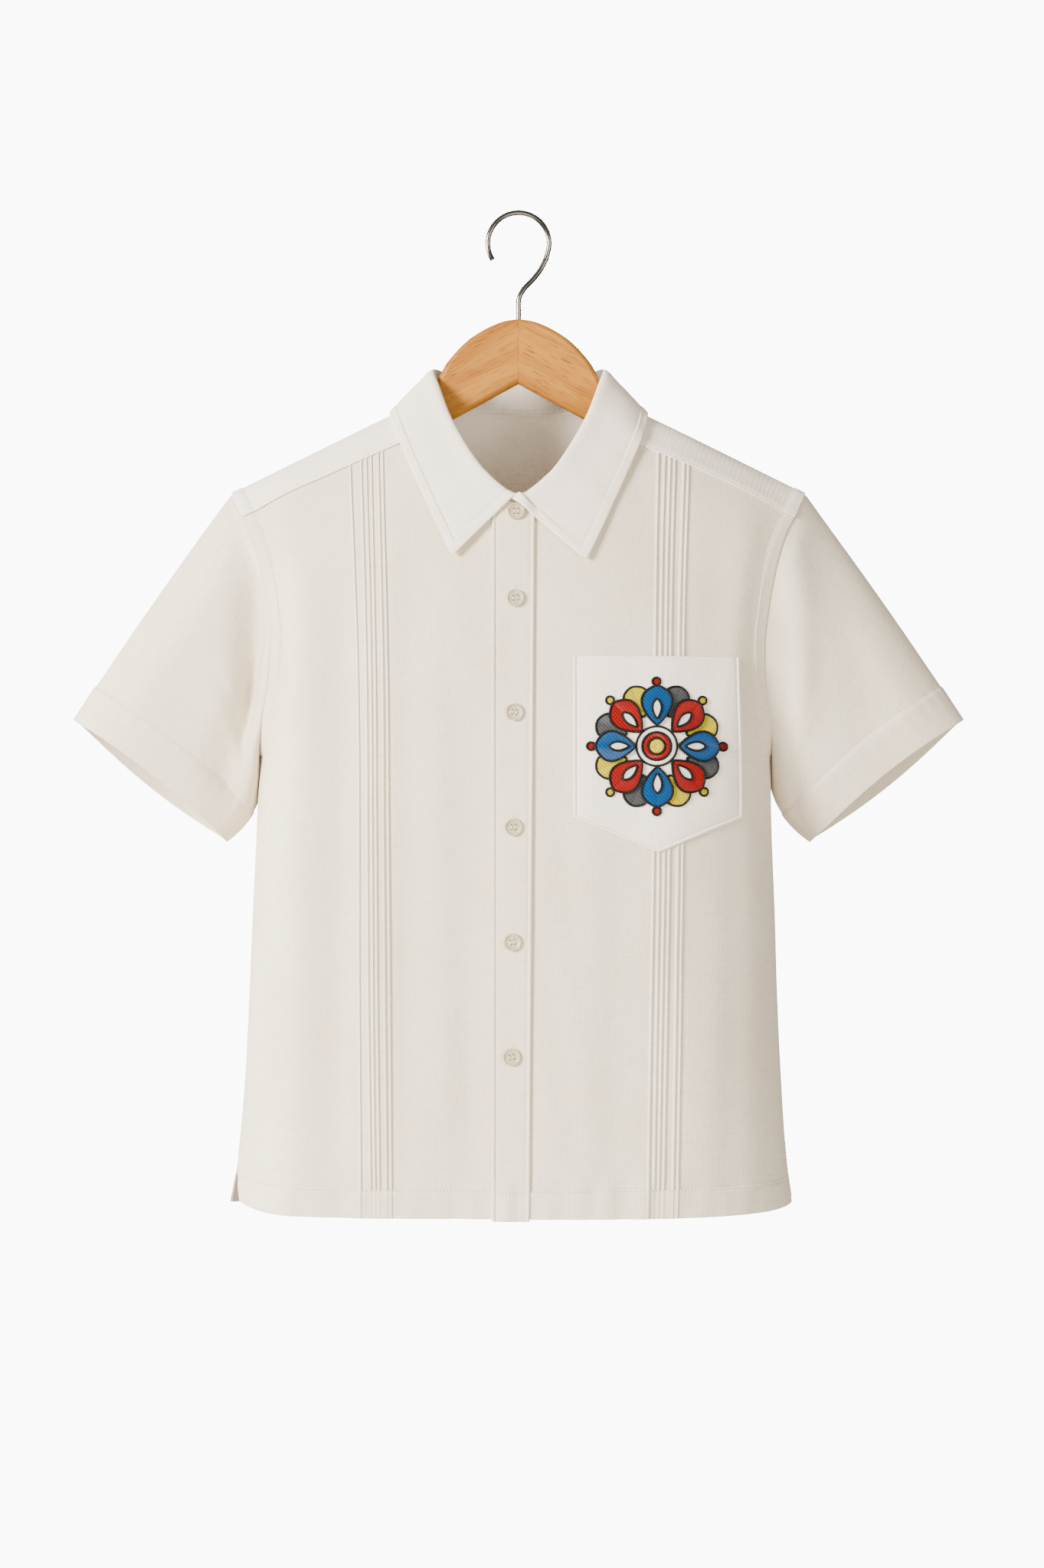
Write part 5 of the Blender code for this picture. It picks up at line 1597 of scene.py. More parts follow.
@dataclass
class Buttons:
    """Places and sizes of the six buttons."""

    radius: float = 6.8
    thick: float = 2.2
    top_x: float = -1.7
    hem_x: float = -5.2
    collar_z: float = -248.6
    first_z: float = -316.5
    step: float = 88.9
    count: int = 6
    seat: float = 2.15
    hole: float = 17.0
    spread: float = 1.6
    drill: float = 0.95
    bevel: float = 0.34
    # Steps over the top face: how far inward, then how far up, to the rim and into the dish.
    steps: tuple[tuple[float, float], ...] = (
        (0.9, 0.0), (0.45, -0.45), (0.5, -0.35), (1.6, -0.05),
    )
    thread: float = 0.3
    loose_turn: float = 0.25

    def place(self, number: int) -> tuple[float, float]:
        """X and z of a button, 0 being the one at the collar."""
        z = self.collar_z if number == 0 else self.first_z - self.step * (number - 1)
        last = self.first_z - self.step * (self.count - 2)
        return blend(self.top_x, self.hem_x, (self.collar_z - z) / (self.collar_z - last)), z

    def pattern(self) -> bpy.types.Object:
        """One turned button with a raised rim, a dish and four holes, facing +Z."""
        deselect_all()
        bpy.ops.mesh.primitive_cylinder_add(
            vertices=64, radius=self.radius, depth=self.thick, location=(0, 0, self.thick / 2)
        )
        made = bpy.context.object
        bpy.ops.object.transform_apply(location=True)
        bpy.ops.object.mode_set(mode="EDIT")
        mesh = bmesh.from_edit_mesh(made.data)
        mesh.faces.ensure_lookup_table()
        top = max(mesh.faces, key=lambda f: f.calc_center_median().z)
        for face in mesh.faces:
            face.select_set(face == top)
        bmesh.update_edit_mesh(made.data)
        for inward, up in self.steps:
            bpy.ops.mesh.inset(thickness=inward)
            bpy.ops.transform.translate(value=(0, 0, up))
        mesh = bmesh.from_edit_mesh(made.data)
        for vertex in mesh.verts:
            vertex.select_set(False)
        for edge in mesh.edges:
            high = min(v.co.z for v in edge.verts)
            reach = min(v.co.xy.length for v in edge.verts)
            low_rim = max(v.co.z for v in edge.verts) < 0.01
            edge.select_set(reach > self.radius - 0.9 and (high > self.thick - 0.01 or low_rim))
        bmesh.update_edit_mesh(made.data)
        bpy.ops.mesh.select_mode(type="EDGE")
        bpy.ops.mesh.bevel(offset=self.bevel, segments=3, profile=0.5)
        bpy.ops.object.mode_set(mode="OBJECT")
        for across, up in ((-1, -1), (1, -1), (-1, 1), (1, 1)):
            deselect_all()
            place = (across * self.spread, up * self.spread, 0)
            bpy.ops.mesh.primitive_cylinder_add(
                vertices=20, radius=self.drill, depth=8, location=place
            )
            drill = bpy.context.object
            cut = made.modifiers.new("hole", "BOOLEAN")
            cut.operation, cut.solver, cut.object = "DIFFERENCE", "EXACT", drill
            activate(made)
            bpy.ops.object.modifier_apply(modifier=cut.name)
            bpy.data.objects.remove(drill, do_unlink=True)
        activate(made)
        bpy.ops.object.shade_smooth_by_angle(angle=math.radians(40))
        return made

    def build(self, finishes: Finishes) -> list[bpy.types.Object]:
        """Make the six buttons, each sewn on with thread."""
        pattern = self.pattern()
        rope = Needle(radius=self.thread, blunt=0.6)
        starts, ends, outs, made = [], [], [], []
        turns = np.random.RandomState(3).uniform(-self.loose_turn, self.loose_turn, self.count)
        for number, turn in enumerate(turns):
            spot = (np.array([k]) for k in self.place(number))
            base, out = (k[0] for k in BODY.skin(*spot, -1, np.array([self.seat])))
            level = unit(np.cross((0.0, 0.0, 1.0), out))
            steep = np.cross(out, level)
            side = level * math.cos(turn) + steep * math.sin(turn)
            up = steep * math.cos(turn) - level * math.sin(turn)
            spin = np.stack((side, up, out), axis=1)
            mesh = pattern.data.copy()
            local = np.array([v.co for v in mesh.vertices])
            points = (local @ spin.T + base) * MM
            mesh.vertices.foreach_set("co", points.astype(np.float32).ravel())
            mesh.name = f"button_{number + 1}_turned"
            piece = linked(mesh.name, mesh)
            made.append(settle(piece, finishes.buttons, (f"button_{number + 1}",)))
            high = base + out * (self.thick - 0.55)
            for across in (-self.spread, self.spread):
                for shift in (-0.3, 0.0, 0.3):
                    lift = out * (0.2 if shift == 0.0 else 0.0)
                    starts.append(high + side * (across + shift) - up * 1.2 + lift)
                    ends.append(high + side * (across + shift) + up * 1.2 + lift)
                    outs.append(out)
                for up_sign in (-1, 1):
                    hole = high + side * across + up * up_sign * (self.spread - 0.35)
                    starts.append(hole + out * 0.1)
                    ends.append(hole - out * (self.thick + 0.5))
                    outs.append(side)
        bpy.data.objects.remove(pattern, do_unlink=True)
        rope.lay("button_threads", *map(np.array, (starts, ends, outs)), finishes.thread)
        return made


BUTTONS = Buttons()


@dataclass
class Pocket:
    """Patch pocket on the wearer's left, pointed at its foot, over the pintucks."""

    left: float = 42.5
    right: float = 171.0
    top_z: float = -362.0
    side_z: float = -487.0
    tip_z: float = -514.0
    tip_x: float = 107.5
    low: float = 1.6
    full: float = 2.4
    ease_run: float = 15.0
    wall: float = 0.8
    stitch: float = 2.6
    edge: tuple[float, ...] = (0, 0.3, 0.7, 1.2, 1.7, 2.2, 2.6, 3.0, 3.6, 5.0, 8.0)
    cut: Cut = Cut(148, 175, 0.94)

    def foot(self, x: Array) -> Array:
        """Height of the pocket's foot at x."""
        half = (self.right - self.left) / 2
        return blend(self.side_z, self.tip_z, np.maximum(1 - np.abs(x - self.tip_x) / half, 0.0))

    def height(self, x: Array, z: Array) -> Array:
        """Height of the pocket's outer side over the body at places."""
        slope = (self.tip_z - self.side_z) / ((self.right - self.left) / 2)
        foot = (z - self.foot(x)) / math.hypot(1, slope)
        sewn = np.minimum(np.minimum(x - self.left, self.right - x), foot)
        gap = np.minimum(sewn, self.top_z - z)
        rise = blend(self.low, self.full, ease(sewn / self.ease_run))
        rise = rise + 0.9 * bump(self.top_z - z, 16.0) * ease(sewn / 40)
        ridge = 0.5 * ease((2.2 - sewn) / 0.6) - 0.45 * bump(sewn - self.stitch, 0.6)
        return rise + ridge - 0.3 * ease(1 - gap / 0.5)

    def place(self, x: Array, z: Array, lift: Any) -> tuple[Array, Array]:
        """Points and normals at places, lifted from the pocket's outer side."""
        return BODY.skin(x, z, -1, self.height(x, z) + lift)

    def build(self, finishes: Finishes, needle: Needle) -> bpy.types.Object:
        """Make the pocket with its stitches and its embroidery."""
        tip = (0.0, 0.6, 1.6)
        half = places(self.tip_x - self.left, self.edge, tip, 16)
        other = places(self.right - self.tip_x, tip, self.edge, 16)
        x = np.concatenate((self.left + half, self.tip_x + other[1:]))
        foot = self.foot(x)
        heights = [places(total, self.edge, self.edge, 26) for total in self.top_z - foot]
        z = (foot[:, None] + np.array(heights)).T
        x = np.repeat(x[None], len(z), axis=0)
        outer, out = self.place(x, z, 0.0)
        piece = Cloth("pocket", outer, outer - out * self.wall).make(finishes.doubled)
        foot = self.edge.index(self.stitch)
        lines = (np.s_[foot:, foot], np.s_[foot, foot:-foot], np.s_[foot:, -1 - foot])
        seams = [Seam.over(outer, out, where, EDGE_LIFT) for where in lines]
        stitches = needle.sew("pocket_stitches", seams, finishes.thread)
        picture = Embroidery(self).build()
        self.cut.declare(piece, "hung", ("front_left_cloth",), (stitches, *picture))
        return piece


class Motif(Enum):
    """Thread colours of the embroidery, as hex codes of the strand and of the painted shade in its
    twist's grooves.
    """

    RED = ("#8B0201", "#640101")
    BLUE = ("#00457D", "#002E55")
    YELLOW = ("#C0B100", "#948600")
    GREY = ("#454749", "#313234")
    WHITE = ("#DBDAD6", "#C6C4BE")
    DARK = ("#020202", "#040405")


@dataclass
class Embroidery:
    """Plain flower medallion in satin stitch: a generic motif with no picture and no words."""

    pocket: Pocket
    middle: tuple[float, float] = (106.0, -432.0)
    pitch: float = 0.82
    petals: int = 8
    # How much the strands of a leaf lean towards its tip, and the shortest that is laid.
    lean: float = 0.35
    least: float = 0.8
    # Satin rings: colour, inner and outer radius, and the radius of the outline after it.
    rings: tuple[tuple[Motif, float, float, float], ...] = (
        (Motif.YELLOW, 0.6, 5.6, 6.2),
        (Motif.RED, 6.8, 10.4, 10.9),
        (Motif.WHITE, 11.4, 14.8, 15.3),
    )
    # Leaves of each petal: height off the cloth, steps round from its ray, colours of even and
    # odd petals, radii of start and tip, half width and the shape of the belly.
    leaves: tuple[tuple[float, float, tuple[Motif, Motif], float, float, float, float], ...] = (
        (0.25, 0.5, (Motif.YELLOW, Motif.GREY), 24.0, 49.5, 9.6, 1.15),
        (1.4, 0.0, (Motif.BLUE, Motif.RED), 16.0, 47.0, 11.6, 0.95),
        (1.8, 0.0, (Motif.WHITE, Motif.WHITE), 21.0, 36.5, 3.4, 1.0),
    )
    # Dots beyond the petals: colours, distance out, radius, and radius and stitch of the outline.
    dots: tuple[Motif, Motif] = (Motif.RED, Motif.YELLOW)
    dot_out: float = 50.2
    dot_radius: float = 2.8
    dot_outline: tuple[float, float] = (3.2, 1.5)
    flat_lift: float = 0.3
    # Radius and bluntness of the satin's threads and of the outlines' thread.
    satin: tuple[float, float] = (0.52, 0.3)
    outline: tuple[float, float] = (1.05, 0.45)

    def __post_init__(self) -> None:
        """Start with no strands."""
        self.strands: dict[Motif, list[tuple[float, ...]]] = {m: [] for m in Motif}
        self.lift = self.flat_lift

    def polar(self, radius: float, angle: float) -> tuple[float, float]:
        """Place at a radius and an angle from the medallion's middle."""
        return radius * math.cos(angle), radius * math.sin(angle)

    def leaf(
        self, motif: Motif, angle: float, start: float, end: float, width: float, peak: float
    ) -> None:
        """Satin leaf or petal along a ray, in two halves, with a dark outline.

        Args:
            motif: colour of its strands.
            angle: direction of the ray.
            start: radius where it begins.
            end: radius of its tip.
            width: half of its width.
            peak: shape of its belly; under 1 it is fullest near its start.
        """
        run = np.array((math.cos(angle), math.sin(angle)))
        side = np.array((-run[1], run[0]))
        count = int((end - start) / self.pitch)
        rims: dict[int, list[Array]] = {-1: [], 1: []}
        for k in range(count + 1):
            t = k / count
            reach = width * math.sin(math.pi * t**peak) ** 0.8
            spot = run * blend(start, end, t)
            for hand, rim in rims.items():
                rim.append(spot + side * hand * reach + run * reach * self.lean)
                if reach >= self.least:
                    inner = spot - side * hand * 0.5
                    self.strands[motif].append((*inner, *rim[-1], self.lift))
        for rim in rims.values():
            self.rope(np.array(rim))

    def rope(self, line: Array, length: float = 2.2) -> None:
        """Dark back stitches along a line."""
        run = lengths(line)
        count = max(int(run[-1] / length * 1.4), 1)
        for k in range(count):
            a, b = along(line, np.array((k, k + 1.35)) * run[-1] / count)
            self.strands[Motif.DARK].append((*a, *b, self.lift + 0.25))

    def ring(self, motif: Motif, inner: float, outer: float) -> None:
        """Satin ring of radial strands."""
        count = int(2 * math.pi * outer / self.pitch)
        for k in range(count):
            angle = 2 * math.pi * k / count
            ends = (*self.polar(inner, angle), *self.polar(outer, angle + 0.05))
            self.strands[motif].append((*ends, self.lift))

    def circle(
        self, radius: float, spot: Any = 0.0, count: int = 73, length: float = 2.2
    ) -> None:
        """Dark outline of a round shape, through count points."""
        angle = np.linspace(0, 2 * math.pi, count)
        line = spot + radius * np.stack((np.cos(angle), np.sin(angle)), axis=1)
        self.rope(line, length)

    def draw(self) -> None:
        """Lay out the whole medallion."""
        for motif, inner, outer, outline in self.rings:
            self.ring(motif, inner, outer)
            self.circle(outline)
        turn = 2 * math.pi / self.petals
        for k in range(self.petals):
            ray = k * turn + math.pi / 2
            for lift, step, motifs, *sizes in self.leaves:
                self.lift = lift
                self.leaf(motifs[k % 2], ray + step * turn, *sizes)
            self.lift = self.flat_lift
            spot = np.array(self.polar(self.dot_out, ray))
            for step in np.arange(-2.6, 2.7, self.pitch):
                reach = math.sqrt(max(self.dot_radius**2 - step**2, 0.0))
                ends = (spot[0] - reach, spot[1] + step, spot[0] + reach, spot[1] + step)
                self.strands[self.dots[k % 2]].append((*ends, self.lift))
            radius, length = self.dot_outline
            self.circle(radius, spot, 19, length)

    def build(self) -> list[bpy.types.Object]:
        """Lay the strands on the pocket, one piece for each colour."""
        self.draw()
        made = []
        for motif, rows in self.strands.items():
            radius, blunt = self.outline if motif is Motif.DARK else self.satin
            needle = Needle(radius=radius, blunt=blunt)
            x, z, end_x, end_z, lift = np.array(rows).T
            start, out = self.pocket.place(x + self.middle[0], z + self.middle[1], lift)
            end, _ = self.pocket.place(end_x + self.middle[0], end_z + self.middle[1], lift)
            label = motif.name.lower()
            # Each strand's second colour is painted shade in the grooves of its twist.
            material = Thread(f"rayon_thread_{label}", *motif.value, 0.36, 1.6, 0.1).make()
            made.append(needle.lay(f"embroidery_{label}", start, end, out, material))
        return made


# ------------------------------------------------------------------ collar
# Half of the collar from its front edge to the middle of the back: where the fold
# is, the gap that the stand keeps below it, and the leaf's edge with its lift.
FOLD = (
    (0.2, -78.5, -232.6), (5.0, -78.0, -232.0), (19.0, -73.5, -221.0), (34.5, -64.0, -202.5),
    (52.5, -42.0, -170.5), (63.0, -18.0, -141.5), (67.5, 2.0, -125.5), (60.5, 26.0, -123.8),
    (46.0, 43.0, -123.5), (24.5, 53.5, -123.5), (0.0, 57.0, -123.5),
)
STAND_GAP = (0.4, 5.0, 5.5, 7.0, 7.0, 7.0, 7.0, 7.0, 7.0, 7.0, 7.0)
LEAF_EDGE = (
    (48.0, -281.0, 5.0), (52.0, -281.5, 5.0), (61.5, -262.5, 4.0), (70.5, -243.0, 3.0),
    (86.5, -207.0, 2.6), (97.5, -179.5, 3.2), (102.5, 0.0, 3.6), (93.0, -171.0, 2.6),
    (66.0, -172.0, 2.8), (34.0, -172.5, 3.0), (0.0, -172.5, 3.4),
)


def both_sides(right: Array, left: Array) -> Array:
    """Whole line from its halves, both given on the left, from right front to left front."""
    return np.concatenate((right * np.array((-1.0, 1.0, 1.0)), left[-2::-1]))


@dataclass
class Collar:
    """Stand and fall of the turn-down collar."""

    steps: int = 8
    trim: int = 3
    seat: float = 0.45
    stand_wall: float = 1.1
    stand_rows: tuple[float, ...] = (
        0, 0.02, 0.05, 0.08, 0.11, 0.14, 0.17, 0.22, 0.3, 0.45, 0.6, 0.75, 0.9, 0.97, 1,
    )
    lean: float = 0.8
    roll: float = 2.4
    bulge: float = 0.7
    turn: float = 0.62
    tucked: float = 0.4
    shoulder: tuple[float, float] = (4.0, 0.8)
    parts: tuple[float, ...] = (0.30, 0.55, 0.78, 1.0)
    left_drop: float = 3.0
    left_reach: float = 1.4
    floor: float = 2.7
    placket_rise: float = 1.5
    over: tuple[float, float] = (-24.0, 16.0)
    wall: float = 1.15
    stitch: float = 7.0
    edge: tuple[float, ...] = (0, 0.3, 0.8, 1.6, 3.2, 5.0, 6.0, 6.5, 6.9, 7.3, 7.8, 8.6, 10.5)
    # The left leaf's front end runs on past the middle and lies over the right one.
    over_steps: int = 6
    over_neck: tuple[float, float, float] = (-5.6, 0.2, -1.0)
    over_fold: tuple[float, float, float] = (-5.6, -1.6, -4.2)
    over_edge: tuple[float, float, float] = (-0.6, 0.0, -0.3)
    over_rise: float = 3.4
    # The lapped end also comes forward: from which x, over what run, how far, in front of which y.
    forward: tuple[float, float, float, float] = (16.0, 12.0, 0.6, -40.0)
    span: int = 8
    stand_cut: Cut = Cut(385, 32, 0.82)
    fall_cut: Cut = Cut(440, 78, 0.86)

    def __post_init__(self) -> None:
        """Work out the curves round the collar."""
        fold = refine(np.array(FOLD), self.steps)
        right = refine(self.leaf_edge(0.0, 0.0), self.steps)
        left = refine(self.leaf_edge(self.left_drop, self.left_reach), self.steps)
        part = np.linspace(0, 1, self.over_steps + 1)[1:, None]
        self.necks, self.folds, self.edges = (
            np.concatenate((line, line[-1] + np.array(step) * part))
            for line, step in (
                (both_sides(NECK.line, NECK.line), self.over_neck),
                (both_sides(fold, fold), self.over_fold),
                (both_sides(right, left), self.over_edge),
            )
        )
        gaps = refine(np.array(STAND_GAP)[:, None], self.steps)[:, 0]
        self.gaps = np.concatenate((gaps, gaps[-2::-1], np.full(self.over_steps, gaps[0])))

    def leaf_edge(self, drop: float, reach: float) -> Array:
        """Edge of one leaf from front to back, hanging lower by drop at its point."""
        edges = []
        for (x, z, lift), side in zip(LEAF_EDGE, NECK.sides):
            if z == 0.0:
                edge = np.array((x, 4.0, BODY.ridge(x)))
            else:
                shift = (reach, drop) if side < 0 else (0.0, 0.0)
                edge = BODY.surface(x + shift[0], z - shift[1], side)
            edges.append(BODY.lifted(edge[None], np.array([lift]))[0])
        return np.array(edges)

    def frames(self) -> tuple[Array, Array, Array]:
        """Directions at each station: ahead, up the stand, and out of it."""
        longer = np.concatenate((self.folds[:1], self.folds, self.folds[-1:]))
        ahead = longer[2:] - longer[:-2]
        rise = unit(self.folds - self.necks)
        out = unit(np.cross(ahead, rise))
        return ahead, rise, turned_to(out, self.folds * np.array((1.0, 1.0, 0.0)))

    def build_stand(self, finishes: Finishes, needle: Needle) -> bpy.types.Object:
        """Make the stand, with the seam allowance inside its base."""
        necks, folds, gaps = (k[: -self.over_steps] for k in (self.necks, self.folds, self.gaps))
        _, rise, out = (k[: -self.over_steps] for k in self.frames())
        body = BODY.normal(necks)
        inward = turned_to(unit(np.cross(body, np.gradient(necks, axis=0))), rise)
        low = necks + inward * self.seat
        facing = np.maximum(np.einsum("ij,ij->i", body, out), self.lean)[:, None]
        low_inner = low - body * (self.stand_wall / facing)
        top = folds - rise * gaps[:, None]
        top_inner = top - out * self.stand_wall
        t = np.array(self.stand_rows)
        outer = blend(low[:, None], top[:, None], t[None, :, None])
        inner = blend(low_inner[:, None], top_inner[:, None], t[None, :, None])
        up = np.linalg.norm(inner - inner[:, :1], axis=2)
        allowance = 1.0 * ease((3.2 - up) / 0.5) * ease(up / 0.4)
        wave = 0.25 * np.sin(lengths(folds) / 9.0)[:, None] * np.sin(np.pi * t)[None]
        outer = outer + out[:, None] * wave[..., None]
        inner = inner - out[:, None] * (allowance - wave)[..., None]
        piece = Cloth("collar_stand", outer, inner).make(finishes.doubled)
        rows = slice(6, -6)
        seams = [
            Seam(inner[rows, 7] - out[rows] * 0.2, -out[rows], 2.4),
            Seam(outer[rows, 4] + out[rows] * EDGE_LIFT, out[rows]),
        ]
        stitches = needle.sew("collar_stand_stitches", seams, finishes.thread)
        self.stand_cut.declare(piece, "folded", ("yoke_cloth",), (stitches,))
        return piece

    def floors(self, points: Array) -> Array:
        """Least height of the leaf's outer side over the body."""
        x, y = points[..., 0], points[..., 1]
        inside = ease((x - self.over[0] + 2) / 4) * ease((self.over[1] + 2 - x) / 4)
        return self.floor + self.placket_rise * inside * (y < 0)

    def build_fall(self, finishes: Finishes, needle: Needle) -> bpy.types.Object:
        """Make the fall: rolled over the stand, with pointed leaves in front."""
        ahead, rise, out = self.frames()
        folds, edges = self.folds, self.edges
        down = unit(edges - folds)
        face = turned_to(unit(np.cross(ahead, down)), out)
        start = folds - rise * (self.gaps - 2 * BODY.half_gap)[:, None]
        crest = folds + out * (self.roll * 0.5)
        shoulder = folds + out * self.roll + down * self.shoulder[0] + face * self.shoulder[1]
        turned = blend(start, crest, self.turn) - out * self.tucked
        lines = [start, turned, crest, shoulder]
        for t in self.parts:
            bulge = self.bulge * math.sin(math.pi * t)
            lines.append(blend(folds + out * self.roll, edges, t) + face * bulge)
        rows = np.stack(lines, axis=1)[self.trim :]
        outs = out[self.trim :]
        grid = np.array([refine(row, self.span) for row in rows])
        near_end = ease((np.arange(len(grid)) - len(grid) + 2 * self.over_steps) / self.over_steps)
        from_x, run, far, front = self.forward
        over = near_end[:, None] * ease((from_x - grid[..., 0]) / run) * (grid[..., 1] < front)
        grid[..., 1] -= far * over
        fall = slice((rows.shape[1] - len(self.parts) - 1) * self.span, None)
        for _ in range(2):
            part = grid[:, fall]
            floor = self.floors(part) + self.over_rise * over[:, fall]
            low = BODY.height(part) < floor
            grid[:, fall] = np.where(low[..., None], BODY.lifted(part, floor), part)
        grid = resample(grid, 1, (0.0, 0.5, 1.2), self.edge, 26)
        grid = resample(grid, 0, self.edge, self.edge, 190)
        normals = grid_normals(grid)
        middle = len(grid) // 2
        if float(normals[middle, -2] @ outs[len(outs) // 2]) < 0:
            normals = -normals
        rim = nearest(grid, (grid[:, -1], grid[0], grid[-1]))
        band = 0.35 * ease((self.stitch + 0.4 - rim) / 0.8) - 0.5 * bump(rim - self.stitch, 0.8)
        band = band - 0.25 * ease(1 - rim / 0.6)
        run, up = lengths(grid[:, -1]), np.linspace(0, 1, grid.shape[1])
        sway = 0.22 * np.sin(run[:, None] / 13.0 + 2.0 * up) + 0.16 * np.sin(run[:, None] / 5.7)
        sway = sway * np.sin(np.pi * np.clip(up * 1.3 - 0.3, 0, 1))[None]
        outer = grid + normals * (band + sway)[..., None]
        inner = grid - normals * (self.wall - sway)[..., None]
        piece = Cloth("collar", outer, inner).make(finishes.doubled)
        at, down_at = self.edge.index(6.9), 24
        lines = (np.s_[at:-at, -1 - at], np.s_[at, down_at:-at], np.s_[-1 - at, down_at:-at])
        seams = [Seam.over(outer, normals, where, FELLED_LIFT) for where in lines]
        stitches = needle.sew("collar_stitches", seams, finishes.thread)
        self.fall_cut.declare(piece, "folded", ("collar_stand_cloth",), (stitches,))
        return piece


# ------------------------------------------------------------------ sleeves
@dataclass(frozen=True)
class Drag:
    """Soft crease on a sleeve, from the armhole (0) to the hem (1), at angles round it."""

    start: float
    end: float
    near: float
    far: float
    width: float
    depth: float

    def height(self, around: Array, part: Array) -> Array:
        """How far the crease lifts the cloth at places."""
        t = np.clip((part - self.near) / (self.far - self.near), 0.0, 1.0)
        centre = blend(self.start, self.end, t)
        gap = np.abs((around - centre + math.pi) % (2 * math.pi) - math.pi)
        along_it = bump(np.maximum(np.maximum(self.near - part, part - self.far), 0.0), 0.08)
        return self.depth * bump(gap, self.width) * along_it * np.sin(np.pi * (0.15 + 0.7 * t))


# Angles run from the top of the armhole, down its front and up its back. Each row holds a
# drag's angle at its start and end, its two places, its width and its depth.
DRAGS = {
    Hand.RIGHT: (
        (1.06, 2.12, 0.00, 0.36, 0.48, -18.0), (2.00, 2.50, 0.22, 1.00, 0.46, -13.0),
        (0.55, 1.10, 0.10, 0.95, 0.34, 3.0), (0.80, 0.95, 0.25, 0.98, 0.28, 1.2),
        (1.45, 1.75, 0.45, 1.00, 0.22, -1.2), (3.75, 4.80, 0.04, 0.80, 0.26, 1.8),
        (4.60, 5.20, 0.15, 0.95, 0.24, -1.4), (5.60, 5.45, 0.30, 1.00, 0.26, 1.1),
    ),
    Hand.LEFT: (
        (0.70, 1.88, 0.02, 0.42, 0.40, 4.2), (0.50, 1.32, 0.16, 0.85, 0.36, -3.6),
        (2.25, 2.70, 0.10, 1.00, 0.26, -5.0), (0.70, 1.05, 0.30, 1.00, 0.26, 1.3),
        (1.65, 1.40, 0.50, 1.00, 0.23, -1.3), (3.65, 4.65, 0.05, 0.75, 0.25, 1.6),
        (4.50, 5.30, 0.20, 0.95, 0.26, -1.5), (5.70, 5.30, 0.35, 1.00, 0.24, 1.2),
    ),
}


